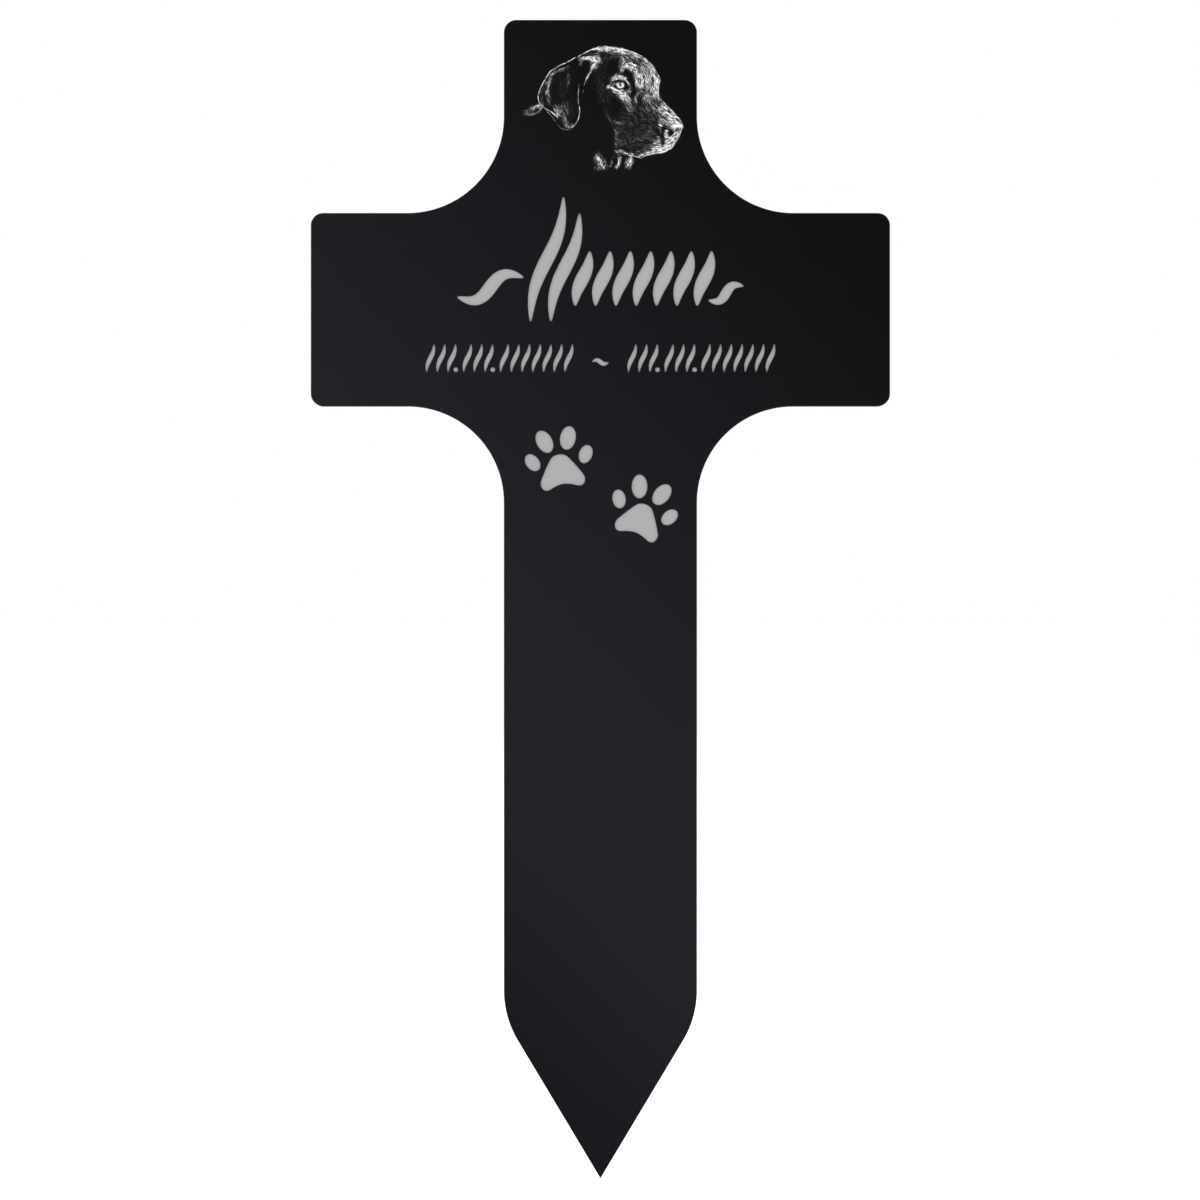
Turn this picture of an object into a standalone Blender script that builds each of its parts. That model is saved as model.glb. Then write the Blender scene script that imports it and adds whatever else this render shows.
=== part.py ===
"""Pet grave cross: one flat sheet with a pointed foot and marks engraved in its front.

The sheet stands in the XZ plane with its front towards -Y. The origin is at the ground
line, on the stem's axis, halfway through the sheet.
"""

import math
from itertools import pairwise

import bmesh
import bpy
from mathutils import Matrix, Vector

# The sheet, in metres
HEIGHT = 0.300
ARM_SPAN = 0.150
STEM_WIDTH = 0.050
ARM_HEIGHT = 0.050
HEAD_LENGTH = 0.050
THICKNESS = 0.003
POINT_LENGTH = 0.0417
CORNER_RADIUS = 0.0032
NECK_RADIUS = 0.025
SHOULDER_RADIUS = 0.025
GROUND_DEPTH = 0.080

# The engraving, and the brush that its strokes seem drawn with
ENGRAVING_DEPTH = 0.0003
STROKE_LEAN = math.radians(15)
STROKE_BOW = 0.035
STROKE_END = 0.12
STROKE_FULLNESS = 0.8
WAVE_BOW = 0.12

UPPER_END_MARGIN = 0.038
UPPER_RISE = 0.001
UPPER_TALL = 0.028
UPPER_LOW = 0.014
UPPER_TAIL = 0.004
UPPER_STROKE = 0.0035
UPPER_TALL_COUNT = 2
UPPER_PITCH = 0.0053
UPPER_TALL_STEP = 0.85
UPPER_SWASH_LENGTH = 0.017
UPPER_WAVE_LENGTH = 0.009
UPPER_WAVE_STROKE = 0.0026
UPPER_GAP = 0.0012

LOWER_END_MARGIN = 0.030
LOWER_RISE = 0.0088
LOWER_HEIGHT = 0.0072
LOWER_STROKE = 0.0012
LOWER_MIDDLE_GAP = 0.0145
LOWER_DASH_LENGTH = 0.0042
LOWER_DASH_RISE = 0.0026
LOWER_DOT = 0.0012
# One group of the row: upright strokes, with a dot after the third and after the sixth
LOWER_PATTERN = "sss.sss.sssssss"
LOWER_DOT_PITCH = 0.45

PAW_WIDTH = 0.0174
PAW_EDGE_DISTANCE = 0.0149
PAW_DROP = 0.0172
PAW_STEP = 0.0127
PAW_LEANS = math.radians(9.2), math.radians(-20)

PORTRAIT_MARGIN = 0.0042
PORTRAIT_SHIFT = 0.0006
PORTRAIT_RISE = 0.0100
PORTRAIT_STROKE_END = 0.3

BLACK = (0.010, 0.010, 0.012)
ROUGHNESS = 0.28

# How far a chord may stray from its arc, and how close points are made one
ARC_ERROR = 0.00002
WELD = 0.000001
SPAN_STEPS = 3
OVAL_SIDES = 20
STROKE_STEPS = 12

TOP = HEIGHT - GROUND_DEPTH
ARMS_TOP = TOP - HEAD_LENGTH
ARMS_BOTTOM = ARMS_TOP - ARM_HEIGHT
ARMS_MIDDLE = (ARMS_TOP + ARMS_BOTTOM) / 2


def clear_scene():
    for item in list(bpy.data.objects):
        bpy.data.objects.remove(item)


def collection(name):
    made = bpy.data.collections.new(name)
    bpy.context.scene.collection.children.link(made)
    return made


def material(name, colour, roughness):
    made = bpy.data.materials.new(name)
    made.use_nodes = True
    shader = made.node_tree.nodes["Principled BSDF"]
    shader.inputs["Base Color"].default_value = (*colour, 1)
    shader.inputs["Roughness"].default_value = roughness
    shader.inputs["Metallic"].default_value = 0
    return made


# Outlines: each function gives one closed loop of points in the sheet's plane


def rounded_corner(before, corner, after, radius):
    """The arc that replaces a corner. Its tangents use at most half of either side."""
    to_before, to_after = before - corner, after - corner
    half_angle = to_before.angle(to_after) / 2
    reach = radius / math.tan(half_angle)
    reach = min(reach, to_before.length / 2, to_after.length / 2)
    radius = reach * math.tan(half_angle)
    if radius < ARC_ERROR:
        return [corner]
    start = corner + to_before.normalized() * reach
    bisector = (to_before.normalized() + to_after.normalized()).normalized()
    centre = corner + bisector * radius / math.sin(half_angle)
    sweep = math.pi - 2 * half_angle
    steps = math.ceil(sweep / (2 * math.acos(1 - ARC_ERROR / radius)))
    turn = math.copysign(sweep / steps, to_after.cross(to_before))
    return [centre + Matrix.Rotation(i * turn, 2) @ (start - centre) for i in range(steps + 1)]


def sheet_outline():
    """The cross, from the foot's tip up its right side. A mirror gives the left."""
    stem, arm = STEM_WIDTH / 2, ARM_SPAN / 2
    right = (
        ((stem, POINT_LENGTH - GROUND_DEPTH), SHOULDER_RADIUS),
        ((stem, ARMS_BOTTOM), NECK_RADIUS),
        ((arm, ARMS_BOTTOM), CORNER_RADIUS),
        ((arm, ARMS_TOP), CORNER_RADIUS),
        ((stem, ARMS_TOP), NECK_RADIUS),
        ((stem, TOP), CORNER_RADIUS),
    )
    corners = [(Vector((0, -GROUND_DEPTH)), 0)]
    corners += [(Vector(place), radius) for place, radius in right]
    corners += [(Vector((-x, z)), radius) for (x, z), radius in reversed(right)]
    outline = []
    for i, (corner, radius) in enumerate(corners):
        before, after = corners[i - 1][0], corners[(i + 1) % len(corners)][0]
        outline += rounded_corner(before, corner, after, radius)
    return outline


def oval(centre, half_width, half_height, lean=0.0):
    """An ellipse. A positive lean tips its top to the left."""
    turn = Matrix.Rotation(lean, 2)
    angles = [math.tau * i / OVAL_SIDES for i in range(OVAL_SIDES)]
    points = [Vector((half_width * math.cos(a), half_height * math.sin(a))) for a in angles]
    return [Vector(centre) + turn @ point for point in points]


def smooth(points, closed=False):
    """A smooth curve through the points."""
    points = [Vector(point) for point in points]
    if closed:
        points = [points[-1], *points, points[0], points[1]]
    else:
        points = [2 * points[0] - points[1], *points, 2 * points[-1] - points[-2]]
    line = []
    for a, b, c, d in zip(points, points[1:], points[2:], points[3:]):
        for i in range(SPAN_STEPS):
            t = i / SPAN_STEPS
            square = (2 * a - 5 * b + 4 * c - d) * t**2
            cube = (3 * b - a - 3 * c + d) * t**3
            line.append(b + ((c - a) * t + square + cube) / 2)
    return line if closed else [*line, points[-2]]


def brush_stroke(line, width, end=STROKE_END):
    """A stroke along a line, widest at its middle. end is the share left at its ends."""
    lengths = [0.0]
    for a, b in pairwise(line):
        lengths.append(lengths[-1] + (b - a).length)
    left, right = [], []
    for i, point in enumerate(line):
        along = line[min(i + 1, len(line) - 1)] - line[max(i - 1, 0)]
        swell = abs(math.sin(math.pi * lengths[i] / lengths[-1])) ** STROKE_FULLNESS
        half = width / 2 * (end + (1 - end) * swell)
        aside = along.orthogonal().normalized() * half
        left.append(point + aside)
        right.append(point - aside)
    return left + right[::-1]


def wave_line(start, end, bow):
    """An S curve from start to end that bows out by a share of its length."""
    start, end = Vector(start), Vector(end)
    aside = (end - start).orthogonal() * bow
    line = []
    for i in range(STROKE_STEPS + 1):
        t = i / STROKE_STEPS
        line.append(start.lerp(end, t) + aside * math.sin(math.tau * t))
    return line


def upright_stroke(x, low, high, width):
    """A leaning brush stroke with its foot at x."""
    reach = (high - low) * math.tan(STROKE_LEAN)
    return brush_stroke(wave_line((x, low), (x + reach, high), STROKE_BOW), width)


# Marks: each function gives a list of loops that don't touch


# How high the two lying waves start and end, as shares of the low strokes' height
SWASH_RISE = 0.16, 0.52
WAVE_RISE = 0.10, 0.36


def lying_wave(start, end, base, rise, width):
    ends = zip((start, end), (base + share * UPPER_LOW for share in rise))
    return brush_stroke(wave_line(*ends, -WAVE_BOW), width)


def upper_marks():
    """The upper row: tall strokes, then low ones as long as there is room, between two waves."""
    base = ARMS_MIDDLE + UPPER_RISE
    end = ARM_SPAN / 2 - UPPER_END_MARGIN
    clear = UPPER_GAP + UPPER_STROKE / 2
    first, last = -end + UPPER_SWASH_LENGTH, end - UPPER_WAVE_LENGTH
    marks = [lying_wave(-end, first, base, SWASH_RISE, UPPER_STROKE)]
    marks.append(lying_wave(last, end, base, WAVE_RISE, UPPER_WAVE_STROKE))
    room = last - first - 2 * clear
    steps = max(round(room / UPPER_PITCH), UPPER_TALL_COUNT)
    for i in range(steps + 1):
        x = first + clear + i * room / steps
        low, high = base, base + UPPER_LOW
        if i < UPPER_TALL_COUNT:
            high = base + UPPER_TALL * UPPER_TALL_STEP**i
            low -= UPPER_TAIL
            x -= UPPER_TAIL * math.tan(STROKE_LEAN)
        marks.append(upright_stroke(x, low, high, UPPER_STROKE))
    return marks


def lower_group(left, right, base):
    """One group of the lower row. A dot stands half a pitch after the stroke before it."""
    pitches = [LOWER_DOT_PITCH if mark == "." else 1 for mark in LOWER_PATTERN]
    lean_reach = LOWER_HEIGHT * math.tan(STROKE_LEAN)
    pitch = (right - left - lean_reach) / (sum(pitches) - 1)
    x, marks = left, []
    for mark, share in zip(LOWER_PATTERN, pitches):
        if mark == ".":
            place = (x - (pitch - LOWER_DOT) / 2, base + LOWER_DOT / 2)
            marks.append(oval(place, LOWER_DOT / 2, LOWER_DOT / 2))
        else:
            marks.append(upright_stroke(x, base, base + LOWER_HEIGHT, LOWER_STROKE))
        x += pitch * share
    return marks


def lower_marks():
    """The lower row: two groups of thin strokes and dots, with a dash between them."""
    base = ARMS_BOTTOM + LOWER_RISE
    end, inner = ARM_SPAN / 2 - LOWER_END_MARGIN, LOWER_MIDDLE_GAP / 2
    marks = lower_group(-end, -inner, base) + lower_group(inner, end, base)
    rise, half = base + LOWER_DASH_RISE, LOWER_DASH_LENGTH / 2
    return [*marks, brush_stroke(wave_line((-half, rise), (half, rise), WAVE_BOW), LOWER_STROKE)]


# A paw print as shares of its width, from its pad's middle: half of the pad's outline,
# then each toe's place, half width, half height and splay in degrees
PAD_TOP, PAD_NOTCH = (0, 0.271), (0, -0.172)
PAD_SIDE = (0.10, 0.243), (0.179, 0.149), (0.268, 0.010), (0.330, -0.110)
PAD_FOOT = (0.310, -0.205), (0.238, -0.235), (0.119, -0.193)
TOES = (0.400, 0.212, 0.098, 0.140, 29.5), (0.177, 0.491, 0.116, 0.176, 19.5)


def paw_print(centre, lean):
    right = PAD_SIDE + PAD_FOOT
    left = [(-x, z) for x, z in reversed(right)]
    loops = [smooth([PAD_TOP, *right, PAD_NOTCH, *left], closed=True)]
    for side in (-1, 1):
        for x, z, half_width, half_height, splay in TOES:
            toe_lean = -side * math.radians(splay)
            loops.append(oval((side * x, z), half_width, half_height, toe_lean))
    turn = Matrix.Rotation(lean, 2)
    return [[Vector(centre) + turn @ point * PAW_WIDTH for point in loop] for loop in loops]


def paw_marks():
    marks = []
    for i, (side, lean) in enumerate(zip((-1, 1), PAW_LEANS)):
        x = side * (STEM_WIDTH / 2 - PAW_EDGE_DISTANCE)
        marks += paw_print((x, ARMS_BOTTOM - PAW_DROP - i * PAW_STEP), lean)
    return marks


# The dog's head, as shares of the picture's width from its lower left corner:
# each line's widest part, then the points that it runs through
HEAD_LINES = {
    "crown": (0.022, (0.37, 0.741), (0.45, 0.775), (0.54, 0.787), (0.63, 0.776), (0.72, 0.745)),
    "forehead": (0.012, (0.748, 0.729), (0.790, 0.696), (0.819, 0.658), (0.834, 0.622)),
    "far_brow": (0.014, (0.851, 0.603), (0.863, 0.581), (0.853, 0.549), (0.847, 0.511)),
    "muzzle_top": (0.014, (0.853, 0.472), (0.892, 0.434), (0.932, 0.391), (0.970, 0.355)),
    "ear_back": (0.011, (0.33, 0.725), (0.27, 0.692), (0.21, 0.665), (0.162, 0.617), (0.124, 0.55)),
    "ear_edge": (0.012, (0.112, 0.527), (0.098, 0.494), (0.104, 0.456), (0.129, 0.414), (0.17, 0.37)),
    "ear_tip": (0.013, (0.226, 0.311), (0.255, 0.292), (0.292, 0.286), (0.323, 0.302), (0.341, 0.331)),
    "ear_front": (0.009, (0.362, 0.556), (0.350, 0.500), (0.348, 0.455), (0.355, 0.400), (0.346, 0.347)),
    "temple": (0.032, (0.354, 0.715), (0.396, 0.722), (0.438, 0.721), (0.480, 0.722)),
    "ear_fold": (0.030, (0.470, 0.700), (0.449, 0.663), (0.423, 0.629), (0.399, 0.589)),
    "brow": (0.028, (0.627, 0.676), (0.674, 0.674), (0.708, 0.630), (0.720, 0.560), (0.701, 0.481)),
    "upper_lid": (0.018, (0.542, 0.557), (0.564, 0.592), (0.600, 0.606), (0.641, 0.587)),
    "lower_lid": (0.026, (0.546, 0.539), (0.577, 0.513), (0.620, 0.501), (0.662, 0.452)),
    "nose_bridge": (0.020, (0.770, 0.459), (0.810, 0.428), (0.852, 0.398), (0.883, 0.361)),
    "nostril_rim": (0.016, (0.892, 0.260), (0.904, 0.238), (0.932, 0.232), (0.957, 0.252)),
    "nose_front": (0.013, (0.993, 0.272), (0.983, 0.248), (0.975, 0.217), (0.961, 0.189)),
    "lip": (0.026, (0.946, 0.174), (0.907, 0.154), (0.862, 0.141), (0.819, 0.131)),
    "jaw": (0.012, (0.788, 0.123), (0.741, 0.109), (0.689, 0.116), (0.641, 0.133), (0.596, 0.147)),
    "nape_upper": (0.011, (0.095, 0.425), (0.060, 0.409), (0.021, 0.383)),
    "nape_lower": (0.010, (0.112, 0.394), (0.090, 0.380), (0.055, 0.368)),
    "throat_1": (0.016, (0.615, 0.107), (0.610, 0.079), (0.593, 0.048)),
    "throat_2": (0.022, (0.669, 0.100), (0.674, 0.073), (0.669, 0.044)),
    "chest": (0.042, (0.466, 0.117), (0.477, 0.086), (0.498, 0.050)),
}
NOSE = (0.923, 0.299), (0.942, 0.316), (0.976, 0.319), (0.995, 0.303), (0.983, 0.286), (0.949, 0.284)
EYE = (0.608, 0.552)
IRIS_RADIUS = 0.020


def portrait_marks():
    width = STEM_WIDTH - 2 * PORTRAIT_MARGIN
    corner = Vector((PORTRAIT_SHIFT - width / 2, ARMS_TOP + PORTRAIT_RISE))
    loops = [smooth(NOSE, closed=True), oval(EYE, IRIS_RADIUS, IRIS_RADIUS)]
    for stroke_width, *points in HEAD_LINES.values():
        loops.append(brush_stroke(smooth(points), stroke_width, PORTRAIT_STROKE_END))
    return [[corner + point * width for point in loop] for loop in loops]


# Solids


def is_inside_cap(edge):
    """An edge that the outline's filling added: it runs between two faces of one cap."""
    heights = [vert.co.z for face in edge.link_faces for vert in face.verts]
    return max(heights) - min(heights) < WELD


def plate_from(name, loops, thickness, y, home):
    """A mesh plate that fills the loops, half its thickness to either side of y."""
    curve = bpy.data.curves.new(name, "CURVE")
    curve.dimensions = "2D"
    curve.fill_mode = "BOTH"
    curve.extrude = thickness / 2
    for loop in loops:
        spline = curve.splines.new("POLY")
        spline.points.add(len(loop) - 1)
        for point, place in zip(spline.points, loop):
            point.co = (*place, 0, 1)
        spline.use_cyclic_u = True
    drawn = bpy.data.objects.new(name + "_outline", curve)
    drawn.rotation_euler.x = math.radians(90)
    drawn.location.y = y
    home.objects.link(drawn)
    graph = bpy.context.evaluated_depsgraph_get()
    mesh = bpy.data.meshes.new_from_object(drawn.evaluated_get(graph))
    welded = bmesh.new()
    welded.from_mesh(mesh)
    bmesh.ops.remove_doubles(welded, verts=welded.verts, dist=WELD)
    caps = [edge for edge in welded.edges if is_inside_cap(edge)]
    bmesh.ops.dissolve_edges(welded, edges=caps, use_verts=False)
    bmesh.ops.recalc_face_normals(welded, faces=welded.faces)
    welded.to_mesh(mesh)
    welded.free()
    plate = bpy.data.objects.new(name, mesh)
    plate.matrix_world = drawn.matrix_world.copy()
    home.objects.link(plate)
    bpy.data.objects.remove(drawn)
    return plate


def engraving_cutter(home):
    """All marks as one cutter, which passes out of the front by as much as it sinks in."""
    marks = upper_marks() + lower_marks() + paw_marks() + portrait_marks()
    cutter = plate_from("engraving", marks, 2 * ENGRAVING_DEPTH, -THICKNESS / 2, home)
    cutter.hide_render = True
    cutter.display_type = "WIRE"
    return cutter


def cross_plate(home, cutter):
    plate = plate_from("cross_plate", [sheet_outline()], THICKNESS, 0, home)
    plate.data.materials.append(material("black_acrylic", BLACK, ROUGHNESS))
    engraved = plate.modifiers.new("engraved marks", "BOOLEAN")
    engraved.operation = "DIFFERENCE"
    engraved.solver = "EXACT"
    engraved.object = cutter
    return plate


def main():
    clear_scene()
    part = collection("pet_grave_cross")
    cutters = collection("cutters")
    cross_plate(part, engraving_cutter(cutters))


main()
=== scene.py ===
# %% [markdown]
# # A pet grave cross
#
# The real cross is one flat sheet of black acrylic, 3 mm thick. A laser cuts its outline, and
# then engraves its front: a dog's head, two rows of marks and two paw prints. The pointed foot
# is pushed into the ground. Where the laser has been, the gloss is gone and the acrylic is a
# frosted pale grey, so the picture is drawn in light on dark.
#
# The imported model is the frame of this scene. It gives the sheet's box, and everything here is
# drawn inside it. The new piece will stand for the plain solid.

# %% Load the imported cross
import math
from itertools import pairwise

import bpy
import numpy as np
from mathutils import Matrix, Vector
from mathutils.geometry import delaunay_2d_cdt


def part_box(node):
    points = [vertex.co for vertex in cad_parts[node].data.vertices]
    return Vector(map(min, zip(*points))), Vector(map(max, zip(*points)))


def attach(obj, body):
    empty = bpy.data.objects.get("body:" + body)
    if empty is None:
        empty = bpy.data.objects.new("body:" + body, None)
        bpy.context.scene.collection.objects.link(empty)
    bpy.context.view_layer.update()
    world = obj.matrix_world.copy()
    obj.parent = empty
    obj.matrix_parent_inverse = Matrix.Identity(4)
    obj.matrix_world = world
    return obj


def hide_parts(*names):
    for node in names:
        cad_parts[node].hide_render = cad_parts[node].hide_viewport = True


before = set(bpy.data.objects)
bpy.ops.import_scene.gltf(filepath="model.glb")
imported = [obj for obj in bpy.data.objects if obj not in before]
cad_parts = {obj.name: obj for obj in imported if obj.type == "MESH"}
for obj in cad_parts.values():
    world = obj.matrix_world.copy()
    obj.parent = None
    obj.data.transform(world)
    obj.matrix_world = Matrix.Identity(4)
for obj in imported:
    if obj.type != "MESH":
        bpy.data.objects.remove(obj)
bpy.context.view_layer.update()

NODE = "cross_plate"
low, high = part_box(NODE)
print("the solid reaches from", tuple(low), "to", tuple(high))

# %% [markdown]
# ## The sizes
#
# The span, the thickness and the heights come from the solid's box. The other sizes are those
# that the sheet was drawn with. All are in metres, with the ground line at height zero.

# %% Name the sizes
ARM_SPAN = high.x - low.x
THICKNESS = high.y - low.y
TOP, GROUND_DEPTH = high.z, -low.z
FRONT = low.y
STEM_WIDTH = 0.050
ARM_HEIGHT = 0.050
HEAD_LENGTH = 0.050
POINT_LENGTH = 0.0417
CORNER_RADIUS = 0.0032
NECK_RADIUS = 0.025
SHOULDER_RADIUS = 0.025

ARMS_TOP = TOP - HEAD_LENGTH
ARMS_BOTTOM = ARMS_TOP - ARM_HEIGHT
ARMS_MIDDLE = (ARMS_TOP + ARMS_BOTTOM) / 2

ENGRAVING_DEPTH = 0.0003
PICTURE_DEPTH = 0.00012
WALL_SLOPE = 0.00008
EDGE_ROUND = 0.00018
ARC_ERROR = 0.000004
print(f"{ARM_SPAN * 1000:.1f} x {(TOP + GROUND_DEPTH) * 1000:.1f} x {THICKNESS * 1000:.1f} mm")

# %% [markdown]
# ## The outline
#
# A laser follows a drawing of lines and arcs. Blender could round a box with Bevel, but here
# the corners have three different radii, so the outline is a list of corners, each with the
# radius that rounds it. The arcs are cut into chords so short that no eye finds them.


# %% Draw the outline
def around(loop):
    """Each point of a closed loop, between the one before it and the one after it."""
    return zip([loop[-1], *loop[:-1]], loop, [*loop[1:], loop[0]])


def rounded_corner(before, corner, after, radius):
    """The arc that replaces a corner. Its tangents use at most half of either side."""
    to_before, to_after = before - corner, after - corner
    half_angle = to_before.angle(to_after) / 2
    reach = radius / math.tan(half_angle)
    reach = min(reach, to_before.length / 2, to_after.length / 2)
    radius = reach * math.tan(half_angle)
    if radius < ARC_ERROR:
        return [corner]
    start = corner + to_before.normalized() * reach
    bisector = (to_before.normalized() + to_after.normalized()).normalized()
    centre = corner + bisector * radius / math.sin(half_angle)
    sweep = math.pi - 2 * half_angle
    steps = math.ceil(sweep / (2 * math.acos(1 - ARC_ERROR / radius)))
    turn = math.copysign(sweep / steps, to_after.cross(to_before))
    return [centre + Matrix.Rotation(i * turn, 2) @ (start - centre) for i in range(steps + 1)]


def sheet_outline():
    """The cross, from the foot's tip up its right side. A mirror gives the left."""
    stem, arm = STEM_WIDTH / 2, ARM_SPAN / 2
    right = (
        ((stem, POINT_LENGTH - GROUND_DEPTH), SHOULDER_RADIUS),
        ((stem, ARMS_BOTTOM), NECK_RADIUS),
        ((arm, ARMS_BOTTOM), CORNER_RADIUS),
        ((arm, ARMS_TOP), CORNER_RADIUS),
        ((stem, ARMS_TOP), NECK_RADIUS),
        ((stem, TOP), CORNER_RADIUS),
    )
    corners = [(Vector((0, -GROUND_DEPTH)), 0)]
    corners += [(Vector(place), radius) for place, radius in right]
    corners += [(Vector((-x, z)), radius) for (x, z), radius in reversed(right)]
    line = []
    for (before, _), (corner, radius), (after, _) in around(corners):
        line += rounded_corner(before, corner, after, radius)
    return line


def without_doubles(line):
    """Leaves out a point that lies on the one before it, as where two arcs meet."""
    return [point for before, point, _ in around(line) if (point - before).length > ARC_ERROR]


outline = without_doubles(sheet_outline())
print("the outline has", len(outline), "points")

# %% [markdown]
# ## The engraver's brush
#
# On the real sheet a mark is a shallow pocket that the beam has burnt away. Bump in a material
# would only pretend that, so every mark here is a real groove: a rim in the surface, and a floor
# a little inside it, with a steep wall between. A stroke is drawn along a line and is widest at
# its middle, as a brush makes it, so one function draws them all.

# %% Draw grooves
STROKE_LEAN = math.radians(15)
STROKE_BOW = 0.035
STROKE_END = 0.12
STROKE_FULLNESS = 0.8
WAVE_BOW = 0.12
STROKE_STEPS = 28
SPAN_STEPS = 6
OVAL_SIDES = 44


def smooth(points, closed=False):
    """A smooth curve through the points."""
    points = [Vector(point) for point in points]
    if closed:
        points = [points[-1], *points, points[0], points[1]]
    else:
        points = [2 * points[0] - points[1], *points, 2 * points[-1] - points[-2]]
    line = []
    for a, b, c, d in zip(points, points[1:], points[2:], points[3:]):
        for i in range(SPAN_STEPS):
            t = i / SPAN_STEPS
            square = (2 * a - 5 * b + 4 * c - d) * t**2
            cube = (3 * b - a - 3 * c + d) * t**3
            line.append(b + ((c - a) * t + square + cube) / 2)
    return line if closed else [*line, points[-2]]


def brush_stroke(line, width, end=STROKE_END):
    """The groove of a stroke: its rim and its floor. end is the share left at its ends."""
    lengths = [0.0]
    for a, b in pairwise(line):
        lengths.append(lengths[-1] + (b - a).length)
    rim, floor = ([], []), ([], [])
    for i, point in enumerate(line):
        ahead, behind = line[min(i + 1, len(line) - 1)], line[max(i - 1, 0)]
        along = ahead - behind
        swell = abs(math.sin(math.pi * lengths[i] / lengths[-1])) ** STROKE_FULLNESS
        half = width / 2 * (end + (1 - end) * swell)
        inner = max(half - WALL_SLOPE, half / 2)
        aside = along.orthogonal().normalized()
        if ahead == point or behind == point:
            point_in = point + (ahead + behind - 2 * point).normalized() * (half - inner)
        else:
            point_in = point
        for side, sign in enumerate((1, -1)):
            rim[side].append(point + sign * half * aside)
            floor[side].append(point_in + sign * inner * aside)
    return rim[0] + rim[1][::-1], floor[0] + floor[1][::-1]


def wave_line(start, end, bow):
    """An S curve from start to end that bows out by a share of its length."""
    start, end = Vector(start), Vector(end)
    aside = (end - start).orthogonal() * bow
    line = []
    for i in range(STROKE_STEPS + 1):
        t = i / STROKE_STEPS
        line.append(start.lerp(end, t) + aside * math.sin(math.tau * t))
    return line


def upright_stroke(x, bottom, top, width):
    """A leaning brush stroke with its foot at x."""
    reach = (top - bottom) * math.tan(STROKE_LEAN)
    return brush_stroke(wave_line((x, bottom), (x + reach, top), STROKE_BOW), width)


def oval(centre, half_width, half_height, lean=0.0):
    """The groove of an ellipse. A positive lean tips its top to the left."""
    turn = Matrix.Rotation(lean, 2)
    loops = []
    for slope in (0, WALL_SLOPE):
        reach = half_width - slope, half_height - slope
        angles = [math.tau * i / OVAL_SIDES for i in range(OVAL_SIDES)]
        points = [Vector((reach[0] * math.cos(a), reach[1] * math.sin(a))) for a in angles]
        loops.append([Vector(centre) + turn @ point for point in points])
    return tuple(loops)


print("a stroke has", len(upright_stroke(0, 0, 0.01, 0.001)[0]), "points on its rim")

# %% [markdown]
# ## The two rows
#
# Two rows are engraved across the arms. The upper one is large and slanted, with a lying wave
# at either end, and the lower one is small, with a short wave in its middle. Plain strokes and
# dots make both, and loops set them out from the row's margins. A wider sheet gets a longer
# upper row with more strokes, and a lower row with more room between them.

# %% Draw the two rows
UPPER_END_MARGIN = 0.038
UPPER_RISE = 0.001
UPPER_TALL = 0.028
UPPER_LOW = 0.014
UPPER_TAIL = 0.004
UPPER_STROKE = 0.0035
UPPER_TALL_COUNT = 2
UPPER_PITCH = 0.0053
UPPER_TALL_STEP = 0.85
UPPER_SWASH_LENGTH = 0.017
UPPER_WAVE_LENGTH = 0.009
UPPER_WAVE_STROKE = 0.0026
UPPER_GAP = 0.0012
SWASH_RISE = 0.16, 0.52
WAVE_RISE = 0.10, 0.36

LOWER_END_MARGIN = 0.030
LOWER_RISE = 0.0088
LOWER_HEIGHT = 0.0072
LOWER_STROKE = 0.0012
LOWER_MIDDLE_GAP = 0.0145
LOWER_DASH_LENGTH = 0.0042
LOWER_DASH_RISE = 0.0026
LOWER_DOT = 0.0012
LOWER_PATTERN = "sss.sss.sssssss"
LOWER_DOT_PITCH = 0.45


def lying_wave(start, end, base, rise, width):
    ends = zip((start, end), (base + share * UPPER_LOW for share in rise))
    return brush_stroke(wave_line(*ends, -WAVE_BOW), width)


def upper_marks():
    """The upper row: tall strokes, then low ones as long as there is room, between two waves."""
    base = ARMS_MIDDLE + UPPER_RISE
    end = ARM_SPAN / 2 - UPPER_END_MARGIN
    clear = UPPER_GAP + UPPER_STROKE / 2
    first, last = -end + UPPER_SWASH_LENGTH, end - UPPER_WAVE_LENGTH
    marks = [lying_wave(-end, first, base, SWASH_RISE, UPPER_STROKE)]
    marks.append(lying_wave(last, end, base, WAVE_RISE, UPPER_WAVE_STROKE))
    room = last - first - 2 * clear
    steps = max(round(room / UPPER_PITCH), UPPER_TALL_COUNT)
    for i in range(steps + 1):
        x = first + clear + i * room / steps
        bottom, top = base, base + UPPER_LOW
        if i < UPPER_TALL_COUNT:
            top = base + UPPER_TALL * UPPER_TALL_STEP**i
            bottom -= UPPER_TAIL
            x -= UPPER_TAIL * math.tan(STROKE_LEAN)
        marks.append(upright_stroke(x, bottom, top, UPPER_STROKE))
    return marks


def lower_group(left, right, base):
    """One group of the lower row. A dot stands half a pitch after the stroke before it."""
    pitches = [LOWER_DOT_PITCH if mark == "." else 1 for mark in LOWER_PATTERN]
    lean_reach = LOWER_HEIGHT * math.tan(STROKE_LEAN)
    pitch = (right - left - lean_reach) / (sum(pitches) - 1)
    x, marks = left, []
    for mark, share in zip(LOWER_PATTERN, pitches):
        if mark == ".":
            place = (x - (pitch - LOWER_DOT) / 2, base + LOWER_DOT / 2)
            marks.append(oval(place, LOWER_DOT / 2, LOWER_DOT / 2))
        else:
            marks.append(upright_stroke(x, base, base + LOWER_HEIGHT, LOWER_STROKE))
        x += pitch * share
    return marks


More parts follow.
